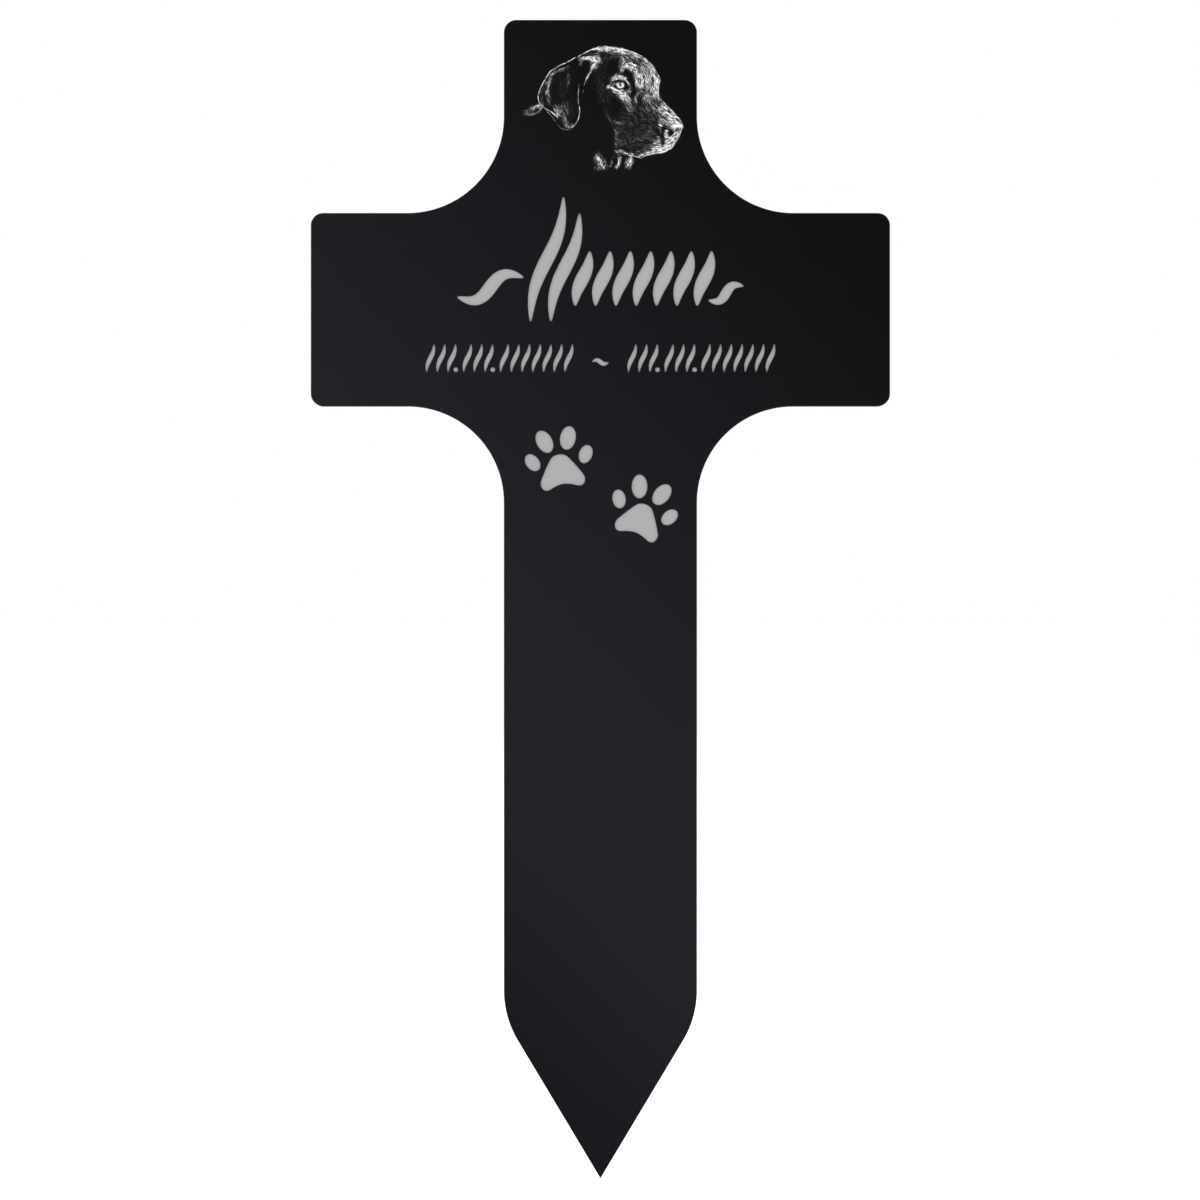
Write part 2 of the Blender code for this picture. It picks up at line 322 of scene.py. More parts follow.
def lower_marks():
    """The lower row: two groups of thin strokes and dots, with a dash between them."""
    base = ARMS_BOTTOM + LOWER_RISE
    end, inner = ARM_SPAN / 2 - LOWER_END_MARGIN, LOWER_MIDDLE_GAP / 2
    marks = lower_group(-end, -inner, base) + lower_group(inner, end, base)
    rise, half = base + LOWER_DASH_RISE, LOWER_DASH_LENGTH / 2
    return [*marks, brush_stroke(wave_line((-half, rise), (half, rise), WAVE_BOW), LOWER_STROKE)]


print(len(upper_marks()), "marks in the upper row and", len(lower_marks()), "in the lower")

# %% [markdown]
# ## The paw prints
#
# A paw print is a common pattern: a pad with three lobes and four toes. Half of the pad's
# outline is listed and mirrored, a smooth curve runs through it, and the toes are leaning
# ovals. Sizes are shares of the print's width, so both prints come from one function. The left
# one is higher, as if the animal walked up the stem.

# %% Draw the paw prints
PAW_WIDTH = 0.0174
PAW_EDGE_DISTANCE = 0.0149
PAW_DROP = 0.0172
PAW_STEP = 0.0127
PAW_LEANS = math.radians(9.2), math.radians(-20)
PAD_TOP, PAD_NOTCH = (0, 0.271), (0, -0.172)
PAD_SIDE = (0.10, 0.243), (0.179, 0.149), (0.268, 0.010), (0.330, -0.110)
PAD_FOOT = (0.310, -0.205), (0.238, -0.235), (0.119, -0.193)
TOES = (0.400, 0.212, 0.098, 0.140, 29.5), (0.177, 0.491, 0.116, 0.176, 19.5)


def pad_groove():
    right = PAD_SIDE + PAD_FOOT
    left = [(-x, z) for x, z in reversed(right)]
    rim = [point * PAW_WIDTH for point in smooth([PAD_TOP, *right, PAD_NOTCH, *left], closed=True)]
    floor = []
    for before, point, after in around(rim):
        inward = (after - before).orthogonal().normalized()
        floor.append(point - inward * WALL_SLOPE)
    return rim, floor


def paw_print(centre, lean):
    turn = Matrix.Rotation(lean, 2)
    grooves = [pad_groove()]
    for side in (-1, 1):
        for toe in TOES:
            x, z, half_width, half_height = (share * PAW_WIDTH for share in toe[:4])
            grooves.append(oval((side * x, z), half_width, half_height, -side * math.radians(toe[4])))
    return [tuple([Vector(centre) + turn @ point for point in loop] for loop in g) for g in grooves]


def paw_marks():
    marks = []
    for i, (side, lean) in enumerate(zip((-1, 1), PAW_LEANS)):
        x = side * (STEM_WIDTH / 2 - PAW_EDGE_DISTANCE)
        marks += paw_print((x, ARMS_BOTTOM - PAW_DROP - i * PAW_STEP), lean)
    return marks


print(len(paw_marks()), "grooves in the paw prints")

# %% [markdown]
# ## The dog's head: its lines
#
# The head on the real cross is burnt into the acrylic in many shades. An image texture would be
# a stranger's picture pasted on, so the head is drawn here as an engraver draws a black dog in
# light: first the few lines that catch the light, then the fur. Places are thousandths of the
# picture's width from its lower left corner, first across and then up. Each line has its widest
# part first, and then the points that it runs through.

# %% Draw the lines of the head
PORTRAIT_MARGIN = 0.0042
PORTRAIT_SHIFT = 0.0006
PORTRAIT_RISE = 0.0100
PORTRAIT_STROKE_END = 0.3
PORTRAIT_WIDTH = STEM_WIDTH - 2 * PORTRAIT_MARGIN
PORTRAIT_CORNER = Vector((PORTRAIT_SHIFT - PORTRAIT_WIDTH / 2, ARMS_TOP + PORTRAIT_RISE))

HEAD_LINES = {
    "crown": (22, 370, 741, 450, 775, 540, 787, 630, 776, 720, 745),
    "forehead": (12, 748, 729, 790, 696, 819, 658, 834, 622),
    "far_brow": (14, 851, 603, 863, 581, 853, 549, 847, 511),
    "muzzle_top": (14, 853, 472, 892, 434, 932, 391, 970, 355),
    "ear_back": (11, 330, 725, 270, 692, 210, 665, 162, 617, 124, 550),
    "ear_edge": (12, 112, 527, 98, 494, 104, 456, 129, 414, 170, 370),
    "ear_tip": (13, 226, 311, 255, 292, 292, 286, 323, 302, 341, 331),
    "ear_front": (9, 362, 556, 350, 500, 348, 455, 355, 400, 346, 347),
    "temple": (32, 354, 715, 396, 722, 438, 721, 480, 722),
    "ear_fold": (30, 470, 700, 449, 663, 423, 629, 399, 589),
    "brow": (28, 627, 676, 674, 674, 708, 630, 720, 560, 701, 481),
    "upper_lid": (18, 542, 557, 564, 592, 600, 606, 641, 587),
    "lower_lid": (26, 546, 539, 577, 513, 620, 501, 662, 452),
    "nose_bridge": (20, 770, 459, 810, 428, 852, 398, 883, 361),
    "nostril_rim": (16, 892, 260, 904, 238, 932, 232, 957, 252),
    "nose_front": (13, 993, 272, 983, 248, 975, 217, 961, 189),
    "lip": (26, 946, 174, 907, 154, 862, 141, 819, 131),
    "jaw": (12, 788, 123, 741, 109, 689, 116, 641, 133, 596, 147),
    "nape_upper": (11, 95, 425, 60, 409, 21, 383),
    "nape_lower": (10, 112, 394, 90, 380, 55, 368),
    "throat_1": (16, 615, 107, 610, 79, 593, 48),
    "throat_2": (22, 669, 100, 674, 73, 669, 44),
    "chest": (42, 466, 117, 477, 86, 498, 50),
}
IRIS_RADIUS = 0.020


def from_thousandths(numbers):
    """The places that a row of thousandths gives, as shares: across and up by turns."""
    shares = [number / 1000 for number in numbers]
    return list(zip(shares[::2], shares[1::2]))


def on_plate(place):
    return PORTRAIT_CORNER + Vector(place) * PORTRAIT_WIDTH


def plate_line(places, closed=False):
    return smooth([on_plate(place) for place in places], closed)


NOSE = from_thousandths((923, 299, 942, 316, 976, 319, 995, 303, 983, 286, 949, 284))
EYE = Vector((0.608, 0.552))


def portrait_marks():
    marks = [oval(on_plate(EYE), *(2 * [IRIS_RADIUS * PORTRAIT_WIDTH]))]
    rim = plate_line(NOSE, closed=True)
    middle = sum(rim, Vector((0, 0))) / len(rim)
    inner = [point + (middle - point).normalized() * WALL_SLOPE for point in rim]
    marks.append((rim, inner))
    for stroke_width, *numbers in HEAD_LINES.values():
        width = stroke_width / 1000 * PORTRAIT_WIDTH
        line = plate_line(from_thousandths(numbers))
        marks.append(brush_stroke(line, width, PORTRAIT_STROKE_END))
    return marks


print(len(portrait_marks()), "grooves in the dog's head")

# %% [markdown]
# ## The dog's head: its light
#
# A black coat shows only where it shines. The light on it is drawn as soft strokes, as an
# airbrush lays them down. Each has its strength, and then in thousandths its half width and its
# points. The lights of the neck lie outside the head's edge. Where no stroke comes near, the
# acrylic stays black.

# %% List the lights on the head
LIGHTS = {
    "crown": (1.00, 16, 452, 780, 500, 784, 560, 781, 620, 771),
    "crown_right": (0.80, 10, 620, 771, 680, 757, 740, 728),
    "crown_under": (0.54, 12, 530, 770, 570, 764, 620, 757, 660, 750),
    "crown_strand": (0.30, 6, 385, 748, 430, 752, 480, 752),
    "crown_fur": (0.38, 21, 622, 725, 680, 724, 716, 712),
    "crown_soft": (0.13, 22, 520, 730, 600, 735),
    "forehead_edge": (0.82, 16, 762, 710, 785, 692, 802, 668, 814, 635),
    "forehead": (0.54, 22, 790, 660, 788, 600, 780, 560),
    "forehead_right": (0.60, 18, 800, 600, 798, 552, 818, 512, 840, 482),
    "forehead_mid": (0.54, 22, 748, 668, 752, 620, 752, 560),
    "forehead_low": (0.42, 30, 750, 535, 775, 500, 810, 500),
    "brow_patch": (0.78, 22, 632, 684, 655, 678, 680, 676),
    "brow_foot": (0.66, 13, 616, 672, 620, 648),
    "brow": (1.00, 17, 660, 672, 684, 664, 701, 642, 711, 605, 717, 560),
    "brow_right": (0.46, 14, 704, 676, 722, 645, 732, 605),
    "brow_tail": (0.42, 13, 716, 520, 706, 480, 704, 455),
    "lid": (0.70, 18, 566, 588, 588, 607, 612, 603, 630, 594),
    "lid_right": (0.55, 7, 642, 592, 655, 572, 672, 550),
    "eye_corner": (0.90, 12, 540, 546, 558, 540, 578, 526),
    "eye_white": (0.50, 8, 568, 560, 580, 563),
    "iris": (1.00, 9, 592, 560, 597, 546, 610, 540, 622, 545),
    "iris_right": (1.00, 9, 623, 565, 626, 552),
    "iris_top": (0.55, 7, 600, 568, 614, 560),
    "under_eye": (0.90, 21, 578, 522, 604, 503, 618, 487),
    "under_eye_low": (0.66, 20, 632, 478, 654, 456),
    "under_eye_right": (0.42, 14, 640, 508, 668, 520, 676, 545),
    "under_eye_edge": (0.42, 11, 652, 500, 668, 472),
    "under_eye_tail": (0.32, 18, 665, 430, 672, 402),
    "far_brow": (1.00, 14, 828, 612, 832, 580, 830, 550, 836, 505),
    "far_brow_glow": (0.55, 10, 845, 605, 850, 580),
    "bridge_left": (0.38, 20, 765, 466, 800, 456),
    "bridge_top": (0.72, 13, 846, 486, 855, 468),
    "bridge": (0.42, 18, 832, 414, 858, 404),
    "bridge_right": (0.70, 18, 876, 428, 900, 404, 930, 378),
    "bridge_under": (0.14, 28, 785, 415, 830, 385),
    "muzzle": (0.64, 24, 886, 380, 922, 358, 955, 345),
    "muzzle_left": (0.48, 12, 860, 340, 857, 318),
    "muzzle_foot": (0.75, 9, 854, 305, 862, 304),
    "nose_back": (0.50, 18, 880, 328, 920, 322),
    "nose": (1.00, 18, 944, 301, 976, 304),
    "nose_side": (0.50, 12, 902, 304, 926, 292, 940, 288),
    "nose_tip": (0.90, 12, 975, 330, 990, 300),
    "nostril_left": (0.80, 12, 900, 271, 889, 254, 896, 239),
    "nostril_below": (0.80, 13, 900, 234, 925, 226, 948, 234),
    "nostril_right": (0.90, 15, 950, 256, 965, 262, 971, 240),
    "wing": (0.45, 6, 856, 288, 862, 255),
    "lip_front": (0.68, 21, 905, 210, 932, 213, 952, 228),
    "chin": (0.85, 22, 850, 155, 890, 170, 935, 195),
    "chin_low": (0.85, 16, 815, 142, 850, 143, 885, 153, 915, 167),
    "lip_low": (0.62, 13, 735, 112, 768, 124, 800, 134),
    "lip_streak": (0.48, 14, 846, 222, 850, 180),
    "lip_streak_left": (0.50, 12, 824, 205, 824, 150),
    "whisker_bed": (0.26, 20, 720, 130, 765, 146, 798, 166),
    "cheek_high": (0.14, 50, 660, 400, 740, 400, 800, 420),
    "cheek": (0.14, 60, 600, 300, 700, 310, 820, 320),
    "cheek_low": (0.17, 50, 600, 200, 700, 200, 800, 230),
    "jaw_edge": (0.22, 10, 582, 270, 582, 160),
    "jaw": (0.56, 11, 603, 146, 632, 135, 656, 124),
    "jaw_left": (0.50, 8, 578, 145, 590, 125, 602, 120),
    "cheek_fold": (0.14, 16, 515, 400, 545, 335, 600, 320),
    "head_side": (0.10, 50, 480, 690, 490, 600, 510, 480),
    "temple": (0.84, 11, 366, 721, 420, 724, 468, 726),
    "temple_end": (0.60, 13, 474, 724, 476, 706),
    "temple_patch": (0.90, 19, 443, 712, 454, 697, 442, 674),
    "temple_fringe": (0.40, 10, 350, 720, 368, 704, 360, 682),
    "fold": (0.54, 8, 434, 655, 412, 622, 398, 592),
    "ear_rim_fur": (0.32, 13, 180, 628, 225, 650, 282, 662),
    "ear_left": (0.38, 19, 178, 612, 158, 565, 156, 520),
    "ear_left_low": (0.27, 16, 158, 500, 166, 448),
    "ear_far_left": (0.16, 14, 125, 550, 116, 490, 126, 450),
    "ear_low": (0.46, 15, 204, 418, 212, 368),
    "ear_low_mid": (0.40, 16, 228, 418, 234, 372),
    "ear_low_right": (0.22, 22, 268, 418, 262, 350),
    "ear_foot": (0.24, 20, 262, 345, 275, 308),
    "ear_bottom": (0.36, 11, 270, 298, 295, 294, 318, 302),
    "ear_streak": (0.20, 8, 284, 625, 289, 590, 286, 555),
    "ear_inside": (0.07, 50, 250, 600, 260, 480, 310, 400),
}
NECK_LIGHTS = {
    "nape": (0.76, 10, 118, 432, 90, 424, 62, 411),
    "nape_low": (0.58, 8, 122, 420, 104, 392, 72, 376, 40, 370),
    "nape_end": (0.30, 16, 60, 400, 18, 384),
    "throat_left": (0.26, 8, 570, 122, 558, 82, 548, 50),
    "throat": (0.74, 11, 606, 100, 604, 82, 597, 62, 586, 45),
    "throat_mid": (0.38, 12, 648, 92, 650, 50),
    "throat_front": (1.00, 13, 674, 124, 679, 102, 672, 70, 664, 46),
    "chest": (0.64, 25, 470, 102, 484, 80, 496, 62),
    "chest_foot": (0.20, 14, 455, 36, 520, 40),
}
print(len(LIGHTS), "lights on the head and", len(NECK_LIGHTS), "on the neck")

# %% [markdown]
# ## The dog's head: its shades and rims
#
# Shades take light away again, as a finger wipes chalk: the pupil, the nostril, the hollow
# beside the eye. The rims are the thinnest lights, where hair stands against the dark. Each has
# its lightness and its points, and gets a row of hairs of its own later. The contour runs round
# the head, just outside its rims.

# %% List the shades, the rims and the contour
SHADES = {
    "hollow": (0.97, 16, 648, 638, 667, 622, 677, 595, 689, 552, 700, 512),
    "lid_line": (0.92, 6, 553, 566, 575, 578, 610, 584, 636, 575, 650, 556),
    "under_iris": (0.88, 5, 570, 546, 590, 535, 616, 530, 640, 541),
    "beside_iris": (0.85, 6, 580, 552, 585, 545),
    "pupil": (0.55, 6, 611, 566, 612, 553),
    "far_gap": (0.85, 6, 812, 604, 810, 560),
    "nostril": (1.00, 15, 917, 262, 931, 261),
    "above_nostril": (0.80, 8, 884, 277, 896, 286),
    "nose_wing": (0.70, 7, 874, 292, 871, 230, 876, 186),
    "under_fringe": (0.85, 14, 390, 694, 410, 676),
    "crown_dark": (0.75, 9, 420, 764, 460, 766),
}
RIMS = {
    "crown": (1.00, 335, 727, 355, 738, 400, 762, 440, 780, 500, 792, 560, 790, 620, 779),
    "crown_right": (1.00, 600, 783, 660, 770, 720, 746, 760, 721, 800, 687),
    "forehead": (1.00, 780, 705, 810, 675, 828, 645, 840, 626),
    "far_brow": (1.00, 836, 628, 850, 607, 856, 583, 849, 556, 845, 520, 844, 486),
    "muzzle": (1.00, 844, 484, 870, 457, 905, 421, 940, 384, 970, 352, 990, 320),
    "nose": (1.00, 975, 345, 991, 320, 996, 298, 988, 275, 976, 240, 962, 212),
    "chin": (1.00, 955, 200, 938, 178, 905, 152, 870, 136, 820, 130),
    "lip": (0.95, 845, 131, 800, 126, 760, 113, 736, 104, 700, 114, 675, 120),
    "jaw": (0.60, 655, 126, 630, 142, 605, 150, 585, 140),
    "ear_back": (0.95, 345, 730, 330, 727, 300, 711, 270, 695, 240, 681, 200, 661),
    "ear_edge": (1.00, 215, 668, 175, 642, 153, 610, 128, 566, 110, 530, 98, 490),
    "ear_tip": (0.85, 98, 500, 98, 475, 106, 448, 122, 425, 150, 405, 185, 384),
    "ear_low": (0.90, 160, 400, 185, 384, 206, 364, 222, 342),
    "ear_hem": (0.50, 135, 408, 160, 385, 190, 350, 220, 312, 250, 284, 300, 277),
    "ear_bottom": (0.70, 270, 300, 300, 292, 325, 306, 340, 330),
    "ear_front": (0.90, 325, 306, 345, 335, 354, 370, 356, 405, 349, 440),
    "ear_front_high": (0.62, 352, 425, 348, 460, 348, 500, 353, 560),
    "fold": (0.75, 440, 662, 415, 625, 398, 592, 386, 560),
    "fold_low": (0.50, 392, 575, 384, 545, 375, 500),
    "temple": (0.95, 350, 726, 395, 731, 440, 732, 470, 730),
    "upper_lid": (0.85, 548, 562, 566, 585, 590, 594, 622, 592, 644, 580),
    "lower_lid": (0.90, 556, 546, 580, 530, 605, 522, 635, 527),
    "nape": (0.80, 125, 430, 90, 426, 62, 413),
    "nape_low": (0.70, 122, 415, 104, 391, 80, 378),
}
CONTOUR = from_thousandths((
    330, 737, 360, 746, 400, 770, 440, 788, 500, 800, 560, 798, 620, 787, 680, 771, 720, 753,
    760, 729, 800, 696, 827, 660, 838, 637, 855, 615, 863, 585, 855, 556, 850, 520, 851, 486,
    876, 462, 910, 427, 945, 390, 976, 356, 995, 325, 1002, 298, 994, 270, 981, 235, 966, 203,
    945, 172, 915, 147, 875, 129, 820, 122, 770, 107, 735, 97, 690, 107, 640, 113, 600, 122,
    572, 145, 570, 250, 530, 320, 450, 390, 385, 440, 364, 400, 352, 330, 330, 298, 300, 270,
    245, 278, 200, 330, 150, 382, 115, 420, 98, 450, 90, 490, 102, 535, 125, 580, 150, 626,
    175, 653, 205, 672, 250, 693, 300, 719,
))
print(len(SHADES), "shades,", len(RIMS), "rims and", len(CONTOUR), "points round the head")

# %% [markdown]
# ## The dog's head: its tone
#
# The tone of a place is worked out from the lists by a rule, so that no picture file is needed.
# A stroke shines most on its line and falls off beside it like a bell curve, and two lights that
# cross never add up to more than white. The contour fades the head's lights at its edge, so that
# they don't spill over.

# %% Work out the tone
CONTOUR_SOFTNESS = 0.012


def nearest(places, points):
    """How far each place is from a line through the points, and the line's course there."""
    best = np.full(len(places), np.inf)
    course = np.zeros((len(places), 2))
    for a, b in pairwise(np.array(points)):
        along = b - a
        t = np.clip((places - a) @ along / (along @ along), 0, 1)
        gap = np.linalg.norm(places - a - t[:, None] * along, axis=1)
        closer = gap < best
        best[closer] = gap[closer]
        course[closer] = along / np.linalg.norm(along)
    return best, course


def inside_loop(points, loop):
    """Which points lie inside a loop, by counting the sides that a ray to the right crosses."""
    crossings = np.zeros(len(points), int)
    for _, a, b in around([tuple(corner) for corner in loop]):
        spans = (points[:, 1] < a[1]) != (points[:, 1] < b[1])
        if spans.any():
            meet = a[0] + (points[spans, 1] - a[1]) * (b[0] - a[0]) / (b[1] - a[1])
            crossings[spans] += points[spans, 0] < meet
    return crossings % 2 == 1


def laid_over(left, places, strokes, share=1):
    """Lays soft strokes over what is left at each place. Each takes its part away."""
    for strength, half_width, *numbers in strokes.values():
        gap = nearest(places, from_thousandths(numbers))[0] / (half_width / 1000)
        left = left * (1 - strength * np.exp(-(gap**2)) * share)
    return left


def tone_at(places):
    """How light the picture looks at each place, from 0 to 1."""
    inside = np.where(inside_loop(places, CONTOUR), 1, -1)
    reach = nearest(places, [*CONTOUR, CONTOUR[0]])[0] * inside
    head = np.clip(0.5 + reach / CONTOUR_SOFTNESS, 0, 1)
    dark = laid_over(np.ones(len(places)), places, LIGHTS, head)
    dark = laid_over(dark, places, NECK_LIGHTS)
    return laid_over(1 - dark, places, SHADES)


print("the eye's tone is", tone_at(np.array([EYE]))[0].round(2))

# %% [markdown]
# ## The dog's head: the lie of the coat
#
# Hair lies along the body: up the muzzle, over the crown, down the ear. Blender's own hair
# could be combed by hand, but a script needs a rule. So a few combing lines say how the coat
# lies, and every hair takes the mean course of the lines near it. A hair that points left lies
# like one that points right, so the mean is taken of the doubled angles.

# %% Comb the coat
COMBING = {
    "crown": (850, 640, 790, 700, 700, 750, 540, 785, 400, 750),
    "forehead": (800, 500, 790, 620, 740, 700),
    "brow": (700, 460, 722, 560, 705, 640, 650, 685, 615, 640),
    "muzzle": (990, 330, 900, 400, 820, 470, 760, 520),
    "cheek": (860, 270, 750, 320, 620, 350, 500, 420),
    "jaw": (930, 170, 800, 135, 680, 125, 590, 150),
    "chin": (985, 260, 965, 210, 920, 150),
    "ear": (340, 690, 300, 550, 280, 400, 290, 300),
    "ear_left": (260, 680, 160, 600, 120, 500, 170, 400, 240, 320),
    "ear_front": (370, 640, 350, 480, 345, 340),
    "temple": (340, 722, 430, 722, 460, 690, 410, 610),
    "head_side": (550, 700, 500, 560, 480, 400),
    "upper_lid": (540, 545, 585, 600, 640, 595, 675, 530),
    "lower_lid": (545, 540, 610, 500, 665, 440),
    "far_eye": (850, 610, 860, 580, 845, 500),
    "throat": (660, 120, 640, 40),
    "chest": (465, 130, 500, 30),
    "nape": (120, 420, 20, 370),
}
COMB_REACH = 0.004


def doubled(course):
    """A course as the cosine and sine of its doubled angle, the same for both of its ways."""
    angle = 2 * np.arctan2(course[:, 1], course[:, 0])
    return np.column_stack((np.cos(angle), np.sin(angle)))


def comb_at(places):
    """How hair lies at each place, as a doubled course."""
    total = np.zeros((len(places), 2))
    for numbers in COMBING.values():
        gap, course = nearest(places, from_thousandths(numbers))
        pull = 1 / (gap + COMB_REACH) ** 2
        total += pull[:, None] * doubled(course)
    return total / np.linalg.norm(total, axis=1)[:, None]


print(len(COMBING), "combing lines")

# %% [markdown]
# ## The beds that the fur grows on
#
# A fine flat grid covers the picture and carries the tone and the lie of the coat on its
# points. Where the light catches an edge, a narrow ribbon follows it, for a row of fine hairs.
# The nose and the eye have no hair, so the grid is dark there. The beds are helpers, which are
# removed once the hairs have grown.

# %% Lay the beds
BED_PITCH = 0.00025
BED_FRAME = (0.0, 0.012), (1.004, 0.815)
RIM_WIDTH = 0.00014
RIM_TAPER = 0.0008
RIM_END_LIGHT = 0.3
EYE_BALD = 0.028


def as_shares(points):
    return (points - np.array(PORTRAIT_CORNER)) / PORTRAIT_WIDTH


def mesh_object(name, points, faces):
    made = bpy.data.meshes.new(name)
    made.from_pydata(points, [], faces)
    holder = bpy.data.objects.new(name, made)
    bpy.context.scene.collection.objects.link(holder)
    return holder


def store(mesh, name, values, kind="FLOAT", domain="POINT"):
    """Keeps one value for each point or face of a mesh, under a name that materials can read."""
    field = "vector" if kind == "FLOAT_VECTOR" else "value"
    mesh.attributes.new(name, kind, domain).data.foreach_set(field, values.ravel())


def lay_bed(name, flat, squares, tone, lie):
    bed = mesh_object(name, np.insert(flat, 1, FRONT, axis=1).tolist(), squares.tolist())
    store(bed.data, "tone", tone)
    store(bed.data, "lie", np.insert(lie, 1, 0, axis=1), "FLOAT_VECTOR")
    return bed


def bald_at(places):
    """Where there is no hair: on the eye and on the nose's wet front."""
    eye = np.linalg.norm(places - np.array(EYE), axis=1) < EYE_BALD
    return eye | inside_loop(places, smooth(NOSE, closed=True))


def grid(lowest, highest, pitch):
    """The points of a grid row by row, and how many are in a row."""
    across = np.linspace(lowest[0], highest[0], math.ceil((highest[0] - lowest[0]) / pitch) + 1)
    upward = np.linspace(lowest[1], highest[1], math.ceil((highest[1] - lowest[1]) / pitch) + 1)
    return np.stack(np.meshgrid(across, upward), -1).reshape(-1, 2), len(across)


flat, row = grid(*(on_plate(place) for place in BED_FRAME), BED_PITCH)
corner = np.arange(len(flat) - row)
corner = corner[corner % row != row - 1]
squares = np.column_stack((corner, corner + 1, corner + row + 1, corner + row))
shares = as_shares(flat)
tone = tone_at(shares) * ~bald_at(shares)
coat_bed = lay_bed("coat_bed", flat, squares, tone, comb_at(shares))
print(len(flat), "points on the coat's bed, mean tone", tone.mean().round(3))

ribbons, ribbon_squares, ribbon_tone, ribbon_lie = [], [], [], []
for lightness, *numbers in RIMS.values():
    line = np.array(plate_line(from_thousandths(numbers)))
    course = np.gradient(line, axis=0)
    course /= np.linalg.norm(course, axis=1)[:, None]
    aside = course[:, ::-1] * (-1, 1) * RIM_WIDTH / 2
    start = sum(map(len, ribbons))
    left = start + 2 * np.arange(len(line) - 1)
    ribbons.append(np.stack((line - aside, line + aside), 1).reshape(-1, 2))
    ribbon_squares.append(np.column_stack((left, left + 2, left + 3, left + 1)))
    gone = np.insert(np.linalg.norm(np.diff(line, axis=0), axis=1).cumsum(), 0, 0)
    taper = np.clip(np.minimum(gone, gone[-1] - gone) / RIM_TAPER, RIM_END_LIGHT, 1)
    ribbon_tone.append(np.repeat(lightness * taper, 2))
    ribbon_lie.append(np.repeat(doubled(course), 2, axis=0))
rim_bed = lay_bed("rim_bed", *map(np.concatenate, (ribbons, ribbon_squares, ribbon_tone, ribbon_lie)))
print(len(RIMS), "ribbons")

# %% [markdown]
# ## Hands for the node trees
#
# Node trees are usually drawn with the mouse. A script names each node, and the same few moves
# come back all the time: add a node, join a socket to another or fill it with a value, do a sum.
# So each move is a function here, which the fur and all the materials use.


# %% Write the moves
def add(tree, kind, settings=(), **sockets):
    """Adds a node, sets it up, and joins or fills the sockets that are named."""
    node = tree.nodes.new(kind)
    for name, value in dict(settings).items():
        setattr(node, name, value)
    for name, value in sockets.items():
        fill(tree, node, name, value)
    return node


def fill(tree, node, name, value):
    """Fills one socket. A name such as _0 stands for the socket's number."""
    give(tree, node.inputs[int(name[1:]) if name[1:].isdigit() else name], value)


def give(tree, socket, value):
    if isinstance(value, bpy.types.NodeSocket):
        tree.links.new(value, socket)
    else:
        socket.default_value = value


def maths(tree, operation, *values):
    sockets = {f"_{i}": value for i, value in enumerate(values)}
    return add(tree, "ShaderNodeMath", {"operation": operation}, **sockets).outputs[0]


def given_by_kind(tree, node, kind, values):
    """Fills a node's first sockets of a kind, and returns its output of that kind."""
    for socket, value in zip((s for s in node.inputs if s.type == kind), values):
        give(tree, socket, value)
    return next(socket for socket in node.outputs if socket.type == kind)


def random_between(tree, lowest, highest, seed):
    node = add(tree, "FunctionNodeRandomValue", {"data_type": "FLOAT"}, Seed=seed)
    return given_by_kind(tree, node, "VALUE", (lowest, highest))


def blend(tree, share, first, second):
    node = add(tree, "ShaderNodeMix", {"data_type": "RGBA"}, Factor=share)
    return given_by_kind(tree, node, "RGBA", (first, second))


def named(tree, kind, name):
    node = add(tree, "GeometryNodeInputNamedAttribute", {"data_type": kind}, Name=name)
    return node.outputs["Attribute"]


print("the moves:", ", ".join(move.__name__ for move in (add, fill, maths, random_between, blend)))

# %% [markdown]
# ## The fur, by Geometry Nodes
#
# Each hair is one short scratch: a kite with its middle sunk, so that it is a tiny groove with
# a sharp end either way. The tree scatters points where the tone asks for them, lays a kite on
# each along the coat, and gives each a light of its own, by which it will be brighter or darker
# than its place. Whorls let that light rise and fall in small patches, as a coat does. A seed
# keeps the scatter the same on each run.

# %% Build the fur tree
DARKEST_HAIR = 0.035
CROWD_POWER = 0.4
WHORL_GAIN, WHORL_LEAST = 1.8, 0.1
LENGTH_SPREAD = 0.5, 1.3
WIDTH_SPREAD = 0.7, 1.3
KITE_CORNERS = 4
HAIR_POINTS = KITE_CORNERS + 1


